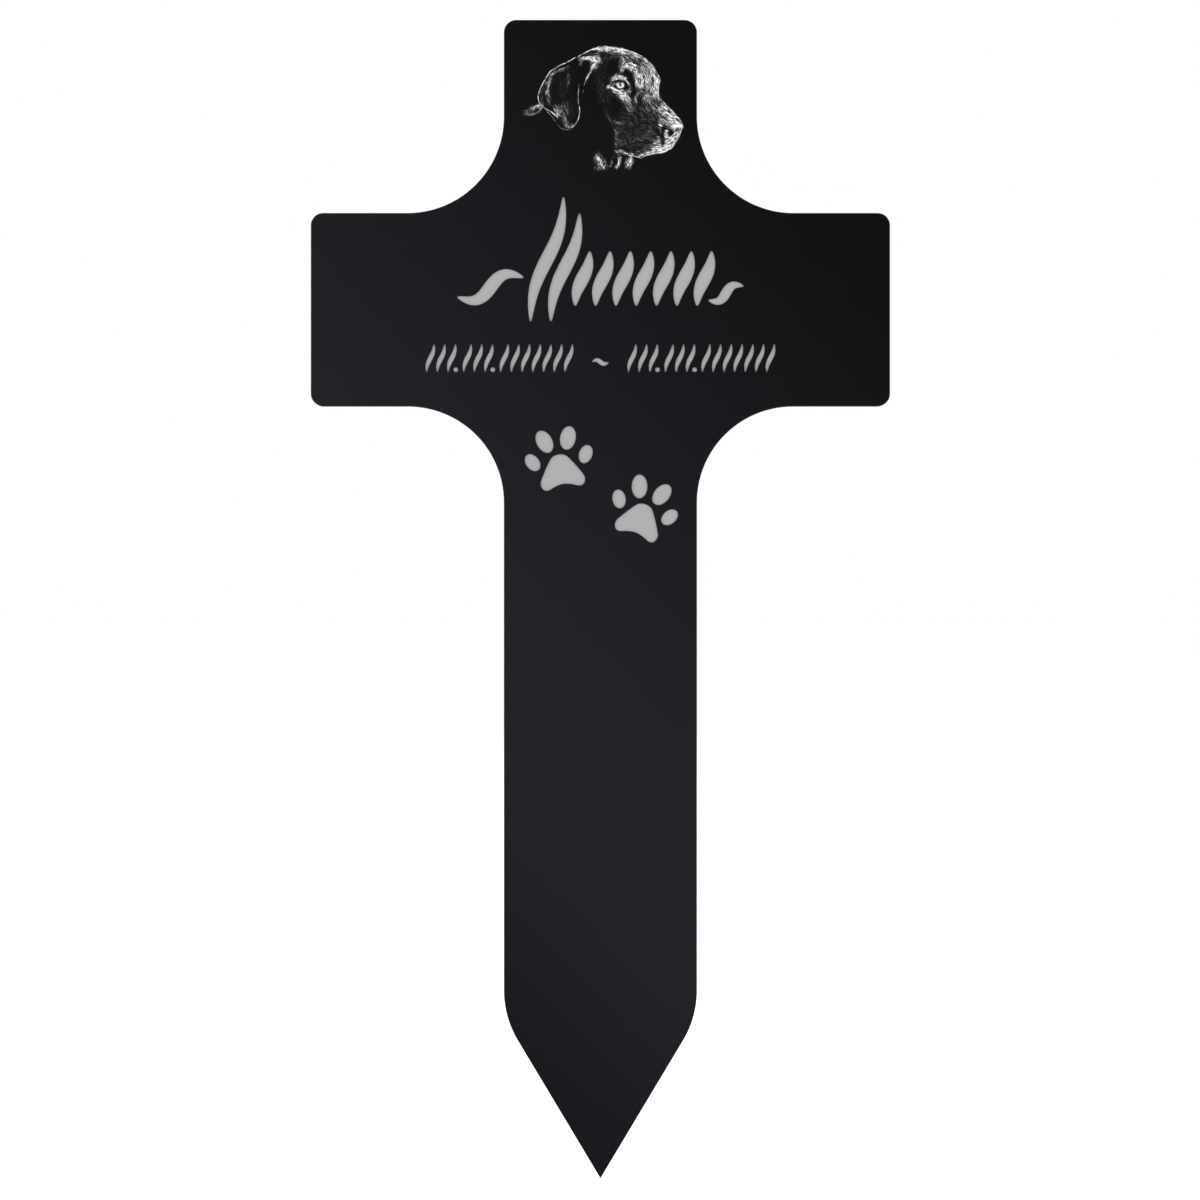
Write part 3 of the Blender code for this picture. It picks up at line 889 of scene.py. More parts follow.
def fur_tree():
    tree = bpy.data.node_groups.new("fur", "GeometryNodeTree")
    face = tree.interface
    face.new_socket("Geometry", in_out="OUTPUT", socket_type="NodeSocketGeometry")
    face.new_socket("Geometry", in_out="INPUT", socket_type="NodeSocketGeometry")
    lengths = "Length", "Width", "Depth"
    for name in ("Hairs in a square metre", *lengths, "Stray", "Contrast", "Whorls"):
        face.new_socket(name, in_out="INPUT", socket_type="NodeSocketFloat")
    face.new_socket("Seed", in_out="INPUT", socket_type="NodeSocketInt")
    given = tree.nodes.new("NodeGroupInput").outputs
    seed = given["Seed"]

    tone_here = named(tree, "FLOAT", "tone")
    haired = maths(tree, "GREATER_THAN", tone_here, DARKEST_HAIR)
    crowd = maths(tree, "MULTIPLY", maths(tree, "POWER", tone_here, CROWD_POWER), haired)
    density = maths(tree, "MULTIPLY", crowd, given["Hairs in a square metre"])
    points = add(tree, "GeometryNodeDistributePointsOnFaces", Mesh=given["Geometry"],
                 Density=density, Seed=seed).outputs["Points"]
    darkest = maths(tree, "SUBTRACT", 1.0, given["Contrast"])
    lightest = maths(tree, "ADD", 1.0, given["Contrast"])
    whorls = add(tree, "ShaderNodeTexNoise", Scale=given["Whorls"], Detail=2.0).outputs[0]
    own_light = maths(tree, "MULTIPLY", random_between(tree, darkest, lightest, seed),
                      maths(tree, "MULTIPLY_ADD", whorls, WHORL_GAIN, WHORL_LEAST))
    keep = add(tree, "GeometryNodeStoreNamedAttribute", {"data_type": "FLOAT", "domain": "POINT"},
               Geometry=points, Name="own light", Value=own_light)

    lie_here = add(tree, "ShaderNodeSeparateXYZ", Vector=named(tree, "FLOAT_VECTOR", "lie")).outputs
    angle = maths(tree, "MULTIPLY", maths(tree, "ARCTAN2", lie_here["Z"], lie_here["X"]), 0.5)
    stray = random_between(tree, maths(tree, "MULTIPLY", given["Stray"], -1.0), given["Stray"],
                           maths(tree, "ADD", seed, 1.0))
    turned = maths(tree, "MULTIPLY", maths(tree, "ADD", angle, stray), -1.0)
    spin = add(tree, "ShaderNodeCombineXYZ", Y=turned).outputs[0]
    rotation = add(tree, "FunctionNodeEulerToRotation", Euler=spin).outputs[0]

    halves = []
    for name, spread, step in (("Length", LENGTH_SPREAD, 2.0), ("Width", WIDTH_SPREAD, 3.0)):
        own_size = random_between(tree, *spread, maths(tree, "ADD", seed, step))
        half = maths(tree, "MULTIPLY", given[name], 0.5)
        halves.append(maths(tree, "MULTIPLY", half, own_size))
    scale = add(tree, "ShaderNodeCombineXYZ", X=halves[0], Y=given["Depth"], Z=halves[1])

    kite = add(tree, "GeometryNodeMeshCircle", {"fill_type": "TRIANGLE_FAN"}, Vertices=KITE_CORNERS,
               Radius=1.0)
    index = tree.nodes.new("GeometryNodeInputIndex").outputs[0]
    middle = maths(tree, "GREATER_THAN", index, KITE_CORNERS - 0.5)
    sunk = add(tree, "GeometryNodeSetPosition", Geometry=kite.outputs["Mesh"], Selection=middle,
               Offset=(0, 0, -1))
    upright = add(tree, "GeometryNodeTransform", Geometry=sunk.outputs[0],
                  Rotation=(math.pi / 2, 0, 0))
    hairs = add(tree, "GeometryNodeInstanceOnPoints", Points=keep.outputs[0],
                Instance=upright.outputs[0], Rotation=rotation, Scale=scale.outputs[0])
    real = add(tree, "GeometryNodeRealizeInstances", Geometry=hairs.outputs[0])
    tree.links.new(real.outputs[0], tree.nodes.new("NodeGroupOutput").inputs[0])
    return tree


fur = fur_tree()
print("the fur tree has", len(fur.nodes), "nodes")

# %% [markdown]
# ## Grow the fur
#
# The coat gets thousands of short hairs that stray a little, and the rims get finer ones that
# lie close. The modifier's inputs are set by their identifiers before the bed is first
# evaluated. The hairs then come back as a plain mesh of five points each, and the bed goes.

# %% Grow the hairs and read them back
HAIR_DEPTH = 0.00003
COAT = {"Hairs in a square metre": 11.5e6, "Length": 0.0013, "Width": 0.00022, "Depth": HAIR_DEPTH,
        "Stray": math.radians(13), "Contrast": 1.0, "Whorls": 1500.0, "Seed": 7}
RIM = {"Hairs in a square metre": 30e6, "Length": 0.0012, "Width": 0.00012, "Depth": HAIR_DEPTH,
       "Stray": math.radians(5), "Contrast": 0.3, "Whorls": 500.0, "Seed": 3}


def grow(bed, tree, values):
    """Runs a tree on a bed, reads each hair's points, tone and own light, and clears both away."""
    modifier = bed.modifiers.new("growth", "NODES")
    modifier.node_group = tree
    for item in tree.interface.items_tree:
        if item.in_out == "INPUT" and item.name in values:
            modifier[item.identifier] = values[item.name]
    grown = bpy.data.meshes.new_from_object(bed.evaluated_get(bpy.context.evaluated_depsgraph_get()))
    points = np.empty(len(grown.vertices) * 3)
    grown.vertices.foreach_get("co", points)
    root_tone, light = np.empty((2, len(grown.vertices)))
    grown.attributes["tone"].data.foreach_get("value", root_tone)
    grown.attributes["own light"].data.foreach_get("value", light)
    bpy.data.objects.remove(bed)
    bpy.data.meshes.remove(grown)
    places = points.reshape(-1, HAIR_POINTS, 3)[:, :, ::2]
    return places, root_tone[::HAIR_POINTS], light[::HAIR_POINTS]


coat_points, _, coat_light = grow(coat_bed, fur, COAT)
rim_points, rim_tone, rim_light = grow(rim_bed, fur, RIM)
hair_points = np.concatenate((coat_points, rim_points))
print(len(coat_points), "hairs in the coat and", len(rim_points), "along the rims")

# %% [markdown]
# ## Cut the drawing into the front
#
# The front is one net of triangles that has every rim, every floor and every hair as edges in
# it, so a groove is made by lowering points and the sheet stays one closed skin. Blender's
# Delaunay routine builds the net. It works in millimetres, because its merging distances suit
# them. Three plain rectangles are edges too, and later part the texture panels.

# %% Build the front's net
MILLIMETRES = 1000
NET_MERGE = 0.00002
TONE_GRIDS = (
    ((0.0, 0.02), (1.0, 0.82), 0.0006),
    ((0.530, 0.440), (0.690, 0.630), 0.00017),
    ((0.860, 0.200), (1.000, 0.350), 0.0002),
)
PICTURE_PANEL = (-0.012, 0.0), (1.012, 0.83)
ROWS_REACH, ROWS_TOP_GAP = 0.0415, 0.002
PAWS_REACH, PAWS_LOWEST = 0.0225, 0.042
PANEL_GAP = 0.006


def inset_outline(line, distance):
    """The outline moved inwards, with its corners kept sharp."""
    moved = []
    for before, point, after in around(line):
        first = (point - before).normalized().orthogonal()
        second = (after - point).normalized().orthogonal()
        middle = (first + second).normalized()
        moved.append(point + middle * distance / middle.dot(first))
    return moved


def rectangle(lowest, highest):
    (left, bottom), (right, top) = lowest, highest
    return [Vector(place) for place in ((left, bottom), (right, bottom), (right, top), (left, top))]


def net_of(points, edges, faces):
    """Blender's net of triangles through the points, with the given edges and loops in it."""
    scaled = [point * MILLIMETRES for point in points]
    return delaunay_2d_cdt(scaled, edges, faces, 1, NET_MERGE, True)


def groove_share(points, rim, floor):
    """How deep each point lies in a groove: 0 outside it, 1 on its floor."""
    share = np.zeros(len(points))
    rim, floor = np.array(rim), np.array(floor)
    close = np.all((points > rim.min(0)) & (points < rim.max(0)), axis=1).nonzero()[0]
    close = close[inside_loop(points[close], rim)]
    if not len(close):
        return share
    to_rim = nearest(points[close], [*rim, rim[0]])[0]
    to_floor = nearest(points[close], [*floor, floor[0]])[0]
    on_floor = inside_loop(points[close], floor)
    share[close] = np.where(on_floor, 1, to_rim / (to_rim + to_floor))
    return share


def turned_left(loop):
    """The loop in the order that keeps its inside on the left."""
    area = sum(a.cross(b) for _, a, b in around(loop))
    return loop if area > 0 else loop[::-1]


def middle_panel(reach, bottom, top):
    return rectangle((-reach, bottom), (reach, top))


face_loop = inset_outline(outline, EDGE_ROUND)
panels = {
    "portrait": rectangle(*(on_plate(place) for place in PICTURE_PANEL)),
    "rows": middle_panel(ROWS_REACH, ARMS_BOTTOM + PANEL_GAP, ARMS_TOP - ROWS_TOP_GAP),
    "paws": middle_panel(PAWS_REACH, ARMS_BOTTOM - PAWS_LOWEST, ARMS_BOTTOM - PANEL_GAP),
}
plain_marks = upper_marks() + lower_marks() + paw_marks()
picture_marks = portrait_marks()
marks = plain_marks + picture_marks
hair_outlines = [[Vector(point) for point in kite] for kite in hair_points[:, :KITE_CORNERS]]

net_points, net_edges, net_faces = [], [], []
for loop in [face_loop, *(loop for mark in marks for loop in mark), *hair_outlines]:
    start = len(net_points)
    net_points += turned_left(loop)
    net_faces.append(list(range(start, len(net_points))))
for loop in panels.values():
    start = len(net_points)
    net_points += loop
    net_edges += [(start + i, start + (i + 1) % 4) for i in range(4)]
for lowest, highest, pitch in TONE_GRIDS:
    net_points += [Vector(place) for place in grid(on_plate(lowest), on_plate(highest), pitch)[0]]

net = net_of(net_points, net_edges, net_faces)
places = np.array([tuple(point) for point in net[0]]) / MILLIMETRES
on_sheet = [i for i, cover in enumerate(net[5]) if 0 in cover]
triangles = np.array([net[2][i] for i in on_sheet])
covers = [net[5][i] for i in on_sheet]
a, b, c = (places[triangles[:, i]] for i in range(3))
double_area = (b - a)[:, 0] * (c - a)[:, 1] - (b - a)[:, 1] * (c - a)[:, 0]
triangles[double_area < 0] = triangles[double_area < 0][:, ::-1]
origin = {source: i for i, sources in enumerate(net[3]) for source in sources}
print(len(places), "points and", len(triangles), "triangles in the front, of", len(net[2]))

# %% [markdown]
# ## How deep, how light
#
# Rims stay in the surface, floors go to the depth of their mark, and each hair is a shallow
# groove whose depth falls off from its middle to its rim. A triangle knows which hairs cover
# it. The last of them lies on top, as with crossing scratches: in the coat the triangle takes
# the tone of its place times that hair's own light, and on a rim it takes the rim's tone.

# %% Lower the points and light the hairs
FIRST_HAIR = 1 + 2 * len(marks)
SKIN_SHARE = 0.5

depth = np.zeros(len(places))
for group, deepest in ((plain_marks, ENGRAVING_DEPTH), (picture_marks, PICTURE_DEPTH)):
    for mark in group:
        depth = np.maximum(depth, deepest * groove_share(places, *mark))

in_picture = inside_loop(places, panels["portrait"])
shares = as_shares(places[in_picture])
bare_tone = np.zeros(len(places))
bare_tone[in_picture] = tone_at(shares)
point_tone = bare_tone.copy()
point_tone[in_picture] *= np.where(bald_at(shares), 1, SKIN_SHARE)
triangle_tone = bare_tone[triangles].mean(1)

hair_middle = hair_points[:, KITE_CORNERS]
hair_axes = hair_points[:, :2] - hair_middle[:, None]
hair_lengths = np.linalg.norm(hair_axes, axis=2)
hair_light = np.zeros(len(triangles))
hair_depth = np.zeros(len(places))
marked = np.zeros(len(triangles), bool)
for i, cover in enumerate(covers):
    marked[i] = any(0 < k <= 2 * len(plain_marks) for k in cover)
    for k in sorted(cover):
        if k >= FIRST_HAIR:
            hair = k - FIRST_HAIR
            if hair < len(coat_points):
                hair_light[i] = triangle_tone[i] * coat_light[hair]
            else:
                hair_light[i] = (rim_tone * rim_light)[hair - len(coat_points)]
            offset = places[triangles[i]] - hair_middle[hair]
            reach = np.abs(offset @ hair_axes[hair].T) / hair_lengths[hair] ** 2
            falls = HAIR_DEPTH * (1 - reach.sum(1))
            hair_depth[triangles[i]] = np.maximum(hair_depth[triangles[i]], falls)
depth += hair_depth

print(f"the deepest point is {depth.max() * 1000:.2f} mm under the surface")

# %% [markdown]
# ## Close the sheet
#
# The laser leaves a faint rounding where the faces meet the cut edge. It is a quarter circle
# in three steps, front and back. The back is plain.

# %% Make the cross
ROUND_STEPS = 3
EDGE_ROWS = 4

points = [(x, FRONT + y, z) for (x, z), y in zip(places.tolist(), depth.tolist())]
ring = [origin[i] for i in range(len(face_loop))]
quarter = [math.pi / 2 * i / ROUND_STEPS for i in range(ROUND_STEPS + 1)]
profile = [(EDGE_ROUND * (1 - math.sin(a)), EDGE_ROUND * (1 - math.cos(a))) for a in quarter]
straight = THICKNESS - 2 * EDGE_ROUND
profile += [(0.0, EDGE_ROUND + straight * i / EDGE_ROWS) for i in range(1, EDGE_ROWS)]
profile += [(inset, THICKNESS - fall) for inset, fall in profile[ROUND_STEPS::-1]]

faces = triangles.tolist()
count_front = len(faces)
rings = [ring]
for inset, fall in profile[1:]:
    loop = inset_outline(outline, inset) if inset else outline
    rings.append(list(range(len(points), len(points) + len(loop))))
    points += [(point.x, FRONT + fall, point.y) for point in loop]
for near, far in pairwise(rings):
    for i in range(len(near)):
        j = (i + 1) % len(near)
        faces.append([near[i], far[i], far[j], near[j]])
count_edge = len(faces) - count_front

back_net = net_of(face_loop, [], [list(range(len(face_loop)))])
for face, cover in zip(back_net[2], back_net[5]):
    if not cover:
        continue
    corners = [back_net[3][i][0] for i in face]
    p, q, r = (face_loop[i] for i in corners)
    if (q - p).cross(r - p) > 0:
        corners.reverse()
    faces.append([rings[-1][i] for i in corners])

cross = mesh_object("memorial_cross", points, faces)
mesh = cross.data

number = np.arange(len(faces))
is_front = number < count_front
is_edge = ~is_front & (number < count_front + count_edge)
is_back = ~is_front & ~is_edge
mesh.polygons.foreach_set("use_smooth", is_edge)
sides = np.bincount([loop.edge_index for loop in mesh.loops])
print(len(faces), "faces, and", (sides != 2).sum(), "edges that aren't shared by two of them")

# %% [markdown]
# ## The texture map
#
# The sheet is unfolded into flat panels, and the picture, the rows and the paw prints get the
# most room. Each panel is a rectangle of the sheet laid on a rectangle of the map, whose side
# is one.

# %% Unfold the sheet
MAP_SIDE = 1024
sheet_frame = rectangle((-ARM_SPAN / 2, -GROUND_DEPTH), (ARM_SPAN / 2, TOP))
MAP_PLACES = {
    "portrait": (388, 4, 632, 516),
    "rows": (388, 526, 632, 318),
    "paws": (388, 850, 210, 168),
    "front": (4, 4, 376, 752),
    "back": (4, 764, 124, 248),
}
EDGE_PLACE = 140, 764, 236, 24


def unfolded(flat_places, frame_corners, place):
    """Lays a rectangle of the sheet on a rectangle of the map."""
    lowest, highest = np.array(frame_corners[0]), np.array(frame_corners[2])
    share = (flat_places - lowest) / (highest - lowest)
    left, bottom, width, height = place
    return (np.array((left, bottom)) + share * np.array((width, height))) / MAP_SIDE


loop_point = np.empty(len(mesh.loops), int)
mesh.loops.foreach_get("vertex_index", loop_point)
loop_count = np.empty(len(faces), int)
mesh.polygons.foreach_get("loop_total", loop_count)
loop_face = np.repeat(number, loop_count)
point_array = np.array(points)
middles = np.empty(len(faces) * 3)
mesh.polygons.foreach_get("center", middles)
middles = middles.reshape(-1, 3)[:, ::2]

flat_places = point_array[loop_point][:, ::2]
panel_map = unfolded(flat_places, sheet_frame, MAP_PLACES["front"])
for name, panel in panels.items():
    own = inside_loop(middles, panel) & is_front
    own_loops = own[loop_face]
    panel_map[own_loops] = unfolded(flat_places[own_loops], panel, MAP_PLACES[name])
back_loops = is_back[loop_face]
panel_map[back_loops] = unfolded(flat_places[back_loops], sheet_frame, MAP_PLACES["back"])

edge_faces = number[is_edge] - count_front
band, step = edge_faces // len(outline), edge_faces % len(outline)
along = np.stack((step, step, step + 1, step + 1), 1) / len(outline)
across_edge = np.stack((band, band + 1, band + 1, band), 1) / (len(rings) - 1)
left, bottom, width, height = EDGE_PLACE
strip = np.stack((left + along * width, bottom + across_edge * height), -1) / MAP_SIDE
panel_map[is_edge[loop_face]] = strip.reshape(-1, 2)
mesh.uv_layers.new(name="OFBake").data.foreach_set("uv", panel_map.astype(np.float32).ravel())
print("panels:", ", ".join([*MAP_PLACES, "edge"]))

# %% [markdown]
# ## What the materials read
#
# Two numbers go with the mesh: the soft tone of the skin at each point, and the lightness of
# the hair on each triangle.

# %% Store the tone and the fur's lightness
all_tone = np.zeros(len(points), np.float32)
all_tone[:len(point_tone)] = point_tone
store(mesh, "tone", all_tone)
all_fur = np.zeros(len(faces), np.float32)
all_fur[:count_front] = hair_light
store(mesh, "fur", all_fur, domain="FACE")
print("the lightest hair has", all_fur.max().round(2))

# %% [markdown]
# ## Black gloss acrylic
#
# Cast acrylic is dyed through, so its colour is even and very dark, and its skin is a mirror.
# It is never quite clean: a faint haze changes the gloss from place to place.

# %% Make the gloss
GLOSS_COLOUR = (0.0032, 0.0032, 0.0034, 1)
GLOSS_ROUGHNESS = 0.10, 0.16
HAZE_SCALE = 60.0
ACRYLIC_INDEX = 1.49
RIDGE_HEIGHT = 0.00002


def new_material(name, colour):
    material = bpy.data.materials.new(name)
    material.use_nodes = True
    material.diffuse_color = colour
    tree = material.node_tree
    shader = tree.nodes["Principled BSDF"]
    fill(tree, shader, "Base Color", colour)
    fill(tree, shader, "IOR", ACRYLIC_INDEX)
    return material, tree, shader


def object_places(tree):
    return tree.nodes.new("ShaderNodeTexCoord").outputs["Object"]


def noise(tree, scale, detail=2.0, stretch=(1, 1, 1)):
    spread = add(tree, "ShaderNodeMapping", Vector=object_places(tree), Scale=stretch)
    return add(tree, "ShaderNodeTexNoise", Vector=spread.outputs[0], Scale=scale,
               Detail=detail).outputs[0]


def between(tree, share, lowest, highest):
    """Carries a share of 0 to 1 to a value between two others."""
    return add(tree, "ShaderNodeMapRange", _0=share, _3=lowest, _4=highest).outputs[0]


def roughen(tree, shader, height, strength):
    """Gives a surface fine heights, which only the light on it shows."""
    node = add(tree, "ShaderNodeBump", Strength=strength, Distance=RIDGE_HEIGHT, Height=height)
    fill(tree, shader, "Normal", node.outputs[0])


gloss, tree, shader = new_material("black gloss acrylic", GLOSS_COLOUR)
fill(tree, shader, "Roughness", between(tree, noise(tree, HAZE_SCALE), *GLOSS_ROUGHNESS))
print("gloss acrylic is ready")

# %% [markdown]
# ## Frosted engraving
#
# The beam burns one thin line after another, so an engraved floor is a field of fine ridges
# that scatter the light. It is pale, dull and very slightly uneven.

# %% Make the frost
FROST_COLOUR = (0.364, 0.364, 0.364, 1)
FROST_DARK = (0.330, 0.330, 0.330, 1)
FROST_ROUGHNESS = 0.75
MOTTLE_SCALE = 900.0
BEAM_PITCH = 0.0001
BEAM_WANDER = 0.6
BEAM_STRENGTH = 0.5


def beam_lines(tree):
    """The ridges that the beam leaves, one above the other. A wave node's scale counts in 20ths."""
    return add(tree, "ShaderNodeTexWave", {"bands_direction": "Z"}, Vector=object_places(tree),
               Scale=math.tau / 20 / BEAM_PITCH, Distortion=BEAM_WANDER).outputs[1]


frost, tree, shader = new_material("frosted engraving", FROST_COLOUR)
mottle = noise(tree, MOTTLE_SCALE, detail=3.0)
fill(tree, shader, "Base Color", blend(tree, mottle, FROST_DARK, FROST_COLOUR))
fill(tree, shader, "Roughness", FROST_ROUGHNESS)
roughen(tree, shader, beam_lines(tree), BEAM_STRENGTH)
print("frosted acrylic is ready")

# %% [markdown]
# ## The burnt picture
#
# In the picture the beam's power follows the tone: from untouched gloss, through a light
# haze, to a bright frost. Both numbers that the mesh carries drive this one finish: a hair has
# its own lightness, and between the hairs the skin keeps a part of the soft tone. The eye reads
# lightness unevenly, so the tone becomes a colour by a power.

# %% Make the picture's finish
PICTURE_LIGHT = (0.90, 0.90, 0.90, 1)
EYE_POWER = 2.2
HAIRLESS = 0.001
DULLING = 1.6
CLEAR_ROUGHNESS = 0.13

picture, tree, shader = new_material("burnt picture", GLOSS_COLOUR)
skin = add(tree, "ShaderNodeAttribute", {"attribute_name": "tone"}).outputs["Fac"]
hair = add(tree, "ShaderNodeAttribute", {"attribute_name": "fur"}).outputs["Fac"]
bare = maths(tree, "LESS_THAN", hair, HAIRLESS)
seen = maths(tree, "ADD", hair, maths(tree, "MULTIPLY", skin, bare))
lightness = maths(tree, "MINIMUM", seen, 1.0)
burnt = maths(tree, "POWER", lightness, EYE_POWER)
fill(tree, shader, "Base Color", blend(tree, burnt, GLOSS_COLOUR, PICTURE_LIGHT))
dull = maths(tree, "MINIMUM", maths(tree, "MULTIPLY", lightness, DULLING), 1.0)
fill(tree, shader, "Roughness", between(tree, dull, CLEAR_ROUGHNESS, FROST_ROUGHNESS))
roughen(tree, shader, beam_lines(tree), maths(tree, "MULTIPLY", burnt, BEAM_STRENGTH))
print("the picture's finish is ready")

# %% [markdown]
# ## The cut edge
#
# A laser melts its way through, and leaves a polished edge with fine streaks from front to
# back. Noise that is squeezed along the sheet and stretched through it gives those streaks,
# without a map of its own. The back was under the protective film and is a little duller.

# %% Make the cut edge and give out the materials
EDGE_COLOUR = (0.006, 0.006, 0.0065, 1)
EDGE_ROUGHNESS = 0.16, 0.34
STREAK_SCALES = 2500, 60, 2500
STREAK_STRENGTH = 0.35
BACK_ROUGHNESS = 0.14, 0.24
BACK_HAZE_SCALE = 45.0
GLOSS_SLOT, FROST_SLOT, PICTURE_SLOT, EDGE_SLOT, BACK_SLOT = range(5)

cut_edge, tree, shader = new_material("laser cut edge", EDGE_COLOUR)
streaks = noise(tree, 1.0, stretch=STREAK_SCALES)
fill(tree, shader, "Roughness", between(tree, streaks, *EDGE_ROUGHNESS))
roughen(tree, shader, streaks, STREAK_STRENGTH)

back_gloss, tree, shader = new_material("back of the sheet", GLOSS_COLOUR)
back_haze = noise(tree, BACK_HAZE_SCALE, detail=4.0)
fill(tree, shader, "Roughness", between(tree, back_haze, *BACK_ROUGHNESS))

for material in (gloss, frost, picture, cut_edge, back_gloss):
    mesh.materials.append(material)
slot = np.where(is_edge, EDGE_SLOT, np.where(is_back, BACK_SLOT, GLOSS_SLOT))
slot[inside_loop(middles, panels["portrait"]) & is_front] = PICTURE_SLOT
slot[:count_front][marked] = FROST_SLOT
mesh.polygons.foreach_set("material_index", slot.astype(np.int32))
mesh.update()
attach(cross, "root")
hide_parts(NODE)
print("faces in each material:", np.bincount(slot).tolist())

# %% [markdown]
# ## The studio
#
# The photograph was taken on white, square to the sheet. The air around is white to the camera
# and gives a soft even light, but the gloss doesn't see it, so that cards alone decide what the
# gloss shows. The cross stands on a pale floor with the tip of its foot.

# %% Set up the air and the floor
AIR_LIGHT = 0.62
FLOOR_COLOUR = (0.9, 0.9, 0.9, 1)
FLOOR_ROUGHNESS = 0.9
FLOOR_SIZE = 60.0
FLOOR_GLOW = 0.5
FLOOR_GAP = 0.0002

scene = bpy.context.scene
scene.view_settings.view_transform = "Standard"
air = bpy.data.worlds.new("white studio")
scene.world = air
air.use_nodes = True
tree = air.node_tree
seen = tree.nodes.new("ShaderNodeLightPath").outputs["Is Camera Ray"]
fill(tree, tree.nodes["Background"], "Strength", between(tree, seen, AIR_LIGHT, 1.0))
fill(tree, tree.nodes["Background"], "Color", (1, 1, 1, 1))
air.cycles_visibility.glossy = False


def aim(holder, place, target, axis):
    """Puts an object in its place and turns one of its axes towards a target."""
    holder.location = place
    holder.rotation_euler = (Vector(target) - Vector(place)).to_track_quat(axis, "Y").to_euler()


def panel_object(name, size, centre, target, material):
    """A flat square that faces a point."""
    corners = rectangle((-size / 2, -size / 2), (size / 2, size / 2))
    panel = mesh_object(name, [(*corner, 0) for corner in corners], [(0, 1, 2, 3)])
    panel.data.materials.append(material)
    aim(panel, centre, target, "Z")
    return panel


floor_finish, tree, shader = new_material("pale floor", FLOOR_COLOUR)
fill(tree, shader, "Roughness", FLOOR_ROUGHNESS)
fill(tree, shader, "Emission Color", (1, 1, 1, 1))
fill(tree, shader, "Emission Strength", FLOOR_GLOW)
floor_place = (0, 0, -GROUND_DEPTH - FLOOR_GAP)
floor = panel_object("floor", FLOOR_SIZE, floor_place, (0, 0, FLOOR_SIZE), floor_finish)
floor.visible_glossy = False
print("the floor is", FLOOR_SIZE, "m wide")

# %% [markdown]
# ## The cards in the gloss
#
# Gloss shows what stands around it. In the photograph that is a soft slanting band of light, so
# a card stands behind the camera whose brightness changes along one slant. Its stops say where
# along the sheet's own slant each light is seen, and how bright it is. The card is far wider
# than the band, so that the sheet also shines a little when it is seen from the side. Three
# more cards do the same for the back and the cut edges. The floor is hidden from the gloss, so
# the cards may reach below it.

# %% Set up the cards
CAMERA_DISTANCE = 0.8631
CAMERA_PLACE = Vector((-0.00011, FRONT - CAMERA_DISTANCE, 0.06978))
CARD_GAP = 0.30
CARD_SIZE = 7.0
EDGE_CARD_REACH = 1.9
CARD_TINT = 1.0, 0.96, 1.28
BAND_STOPS = (
    (0.2302, 0.013), (0.2095, 0.065), (0.1784, 0.103), (0.1240, 0.217), (0.0800, 0.300),
    (0.0308, 0.375), (0.0049, 0.400), (-0.0210, 0.344), (-0.0443, 0.256), (-0.0727, 0.132),
)
SIDE_STOPS = (
    (1.10, 0.20), (0.80, 0.60), (0.60, 0.35), (0.44, 0.55), (0.32, 0.12), (0.26, 0.013),
    (-0.10, 0.132), (-0.20, 0.22), (-0.42, 0.75), (-0.65, 0.30), (-1.00, 0.70), (-1.30, 0.20),
)
BACK_STOPS = (
    (1.10, 0.15), (0.70, 0.45), (0.40, 0.70), (0.22, 0.36), (0.10, 0.20), (0.00, 0.10),
    (-0.10, 0.18), (-0.24, 0.42), (-0.45, 0.70), (-0.80, 0.32), (-1.30, 0.12),
)
EDGE_STOPS = (1.00, 0.15), (0.40, 0.70), (0.00, 0.95), (-0.40, 0.70), (-1.20, 0.15)
LOWEST_STOP, HIGHEST_STOP = -1.4, 1.2

# A line of sight goes to the sheet, back again and on to the card, and spreads all the way
spread = 2 + CARD_GAP / CAMERA_DISTANCE


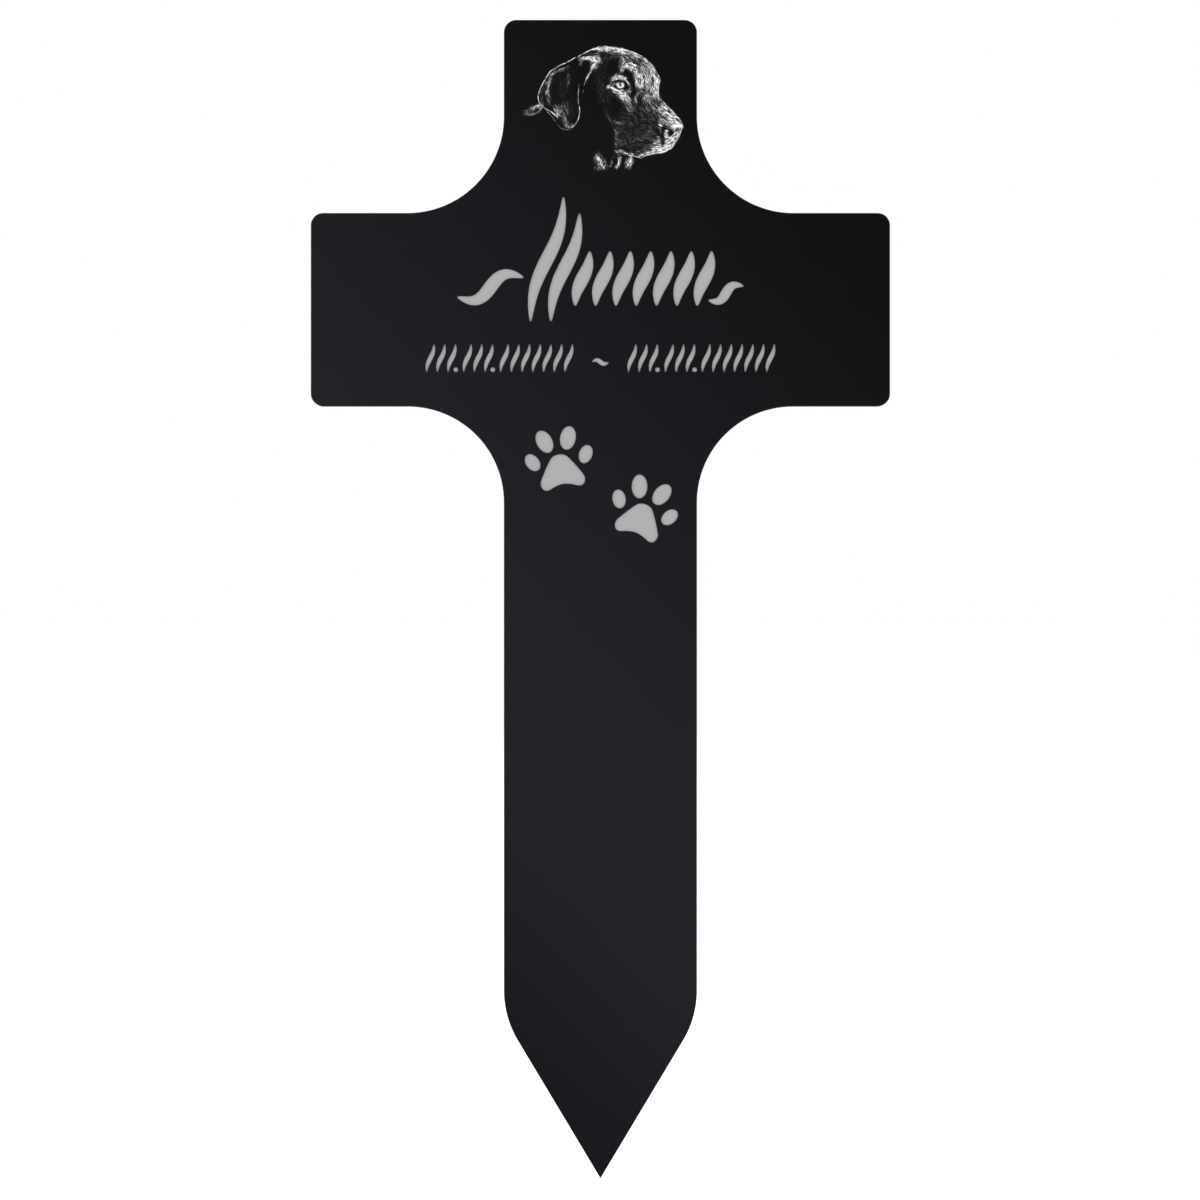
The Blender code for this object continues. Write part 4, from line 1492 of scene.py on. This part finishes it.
def card(name, centre, stops, slant):
    """A card that glows along a slant, seen only in the gloss. It faces the cross."""
    glow = bpy.data.materials.new(name)
    glow.use_nodes = True
    tree = glow.node_tree
    tree.nodes.clear()
    place = tree.nodes.new("ShaderNodeNewGeometry").outputs["Position"]
    dot = add(tree, "ShaderNodeVectorMath", {"operation": "DOT_PRODUCT"}, _0=place, _1=slant)
    drop = CAMERA_PLACE.z * (1 - spread)
    seen_at = maths(tree, "DIVIDE", maths(tree, "SUBTRACT", dot.outputs["Value"], drop), spread)
    along = add(tree, "ShaderNodeMapRange", _0=seen_at, _1=LOWEST_STOP, _2=HIGHEST_STOP)
    ramp = add(tree, "ShaderNodeValToRGB", Fac=along.outputs[0])
    band = ramp.color_ramp
    band.interpolation = "B_SPLINE"
    for reach, light in sorted(stops):
        stop = band.elements.new((reach - LOWEST_STOP) / (HIGHEST_STOP - LOWEST_STOP))
        stop.color = (*(light * tint for tint in CARD_TINT), 1)
    band.elements.remove(band.elements[0])
    band.elements.remove(band.elements[-1])
    emission = add(tree, "ShaderNodeEmission", Color=ramp.outputs[0], Strength=1.0)
    output = tree.nodes.new("ShaderNodeOutputMaterial")
    tree.links.new(emission.outputs[0], output.inputs["Surface"])
    sheet = panel_object(name, CARD_SIZE, centre, (0, 0, CAMERA_PLACE.z), glow)
    sheet.visible_camera = sheet.visible_diffuse = sheet.visible_shadow = False


card_reach = CAMERA_DISTANCE + CARD_GAP
card("front_card", (0, FRONT - card_reach, CAMERA_PLACE.z), BAND_STOPS + SIDE_STOPS, (1, 0, 1))
card("back_card", (0, card_reach, CAMERA_PLACE.z), BACK_STOPS, (-1, 0, 1))
for name, side in (("left_card", -1), ("right_card", 1)):
    card(name, (side * EDGE_CARD_REACH, 0, CAMERA_PLACE.z), EDGE_STOPS, (0, side, 1))
print("the front card is seen", round(spread, 2), "times as large as the sheet")

# %% [markdown]
# ## The lamps
#
# Two large lamps left and right light the frost and the edges from outside the mirror's view,
# and a third stands behind. Each has its place, its width and height, and its power in watts.

# %% Set up the lamps
LAMPS = {
    "left lamp": ((-1.6, -1.1, 0.9), (1.0, 1.4), 14.0),
    "right lamp": ((1.6, -1.1, 0.7), (1.0, 1.4), 11.0),
    "back lamp": ((0.6, 1.8, 1.2), (1.2, 1.2), 14.0),
}
for name, (place, size, power) in LAMPS.items():
    light = bpy.data.lights.new(name, "AREA")
    light.shape, light.size, light.size_y, light.energy = "RECTANGLE", *size, power
    lamp = bpy.data.objects.new(name, light)
    scene.collection.objects.link(lamp)
    aim(lamp, place, (0, 0, (TOP - GROUND_DEPTH) / 2), "-Z")
    lamp.visible_camera = False
print(len(LAMPS), "lamps")

# %% [markdown]
# ## The camera
#
# The sheet fills the picture with almost no foreshortening, so the lens is long.

# %% Place the camera
LENS_LENGTH, SENSOR_WIDTH = 100.0, 36.0

lens = bpy.data.cameras.new("camera")
lens.lens, lens.sensor_width = LENS_LENGTH, SENSOR_WIDTH
camera = bpy.data.objects.new("camera", lens)
scene.collection.objects.link(camera)
camera.location = CAMERA_PLACE
camera.rotation_euler = (math.pi / 2, 0, 0)
scene.camera = camera
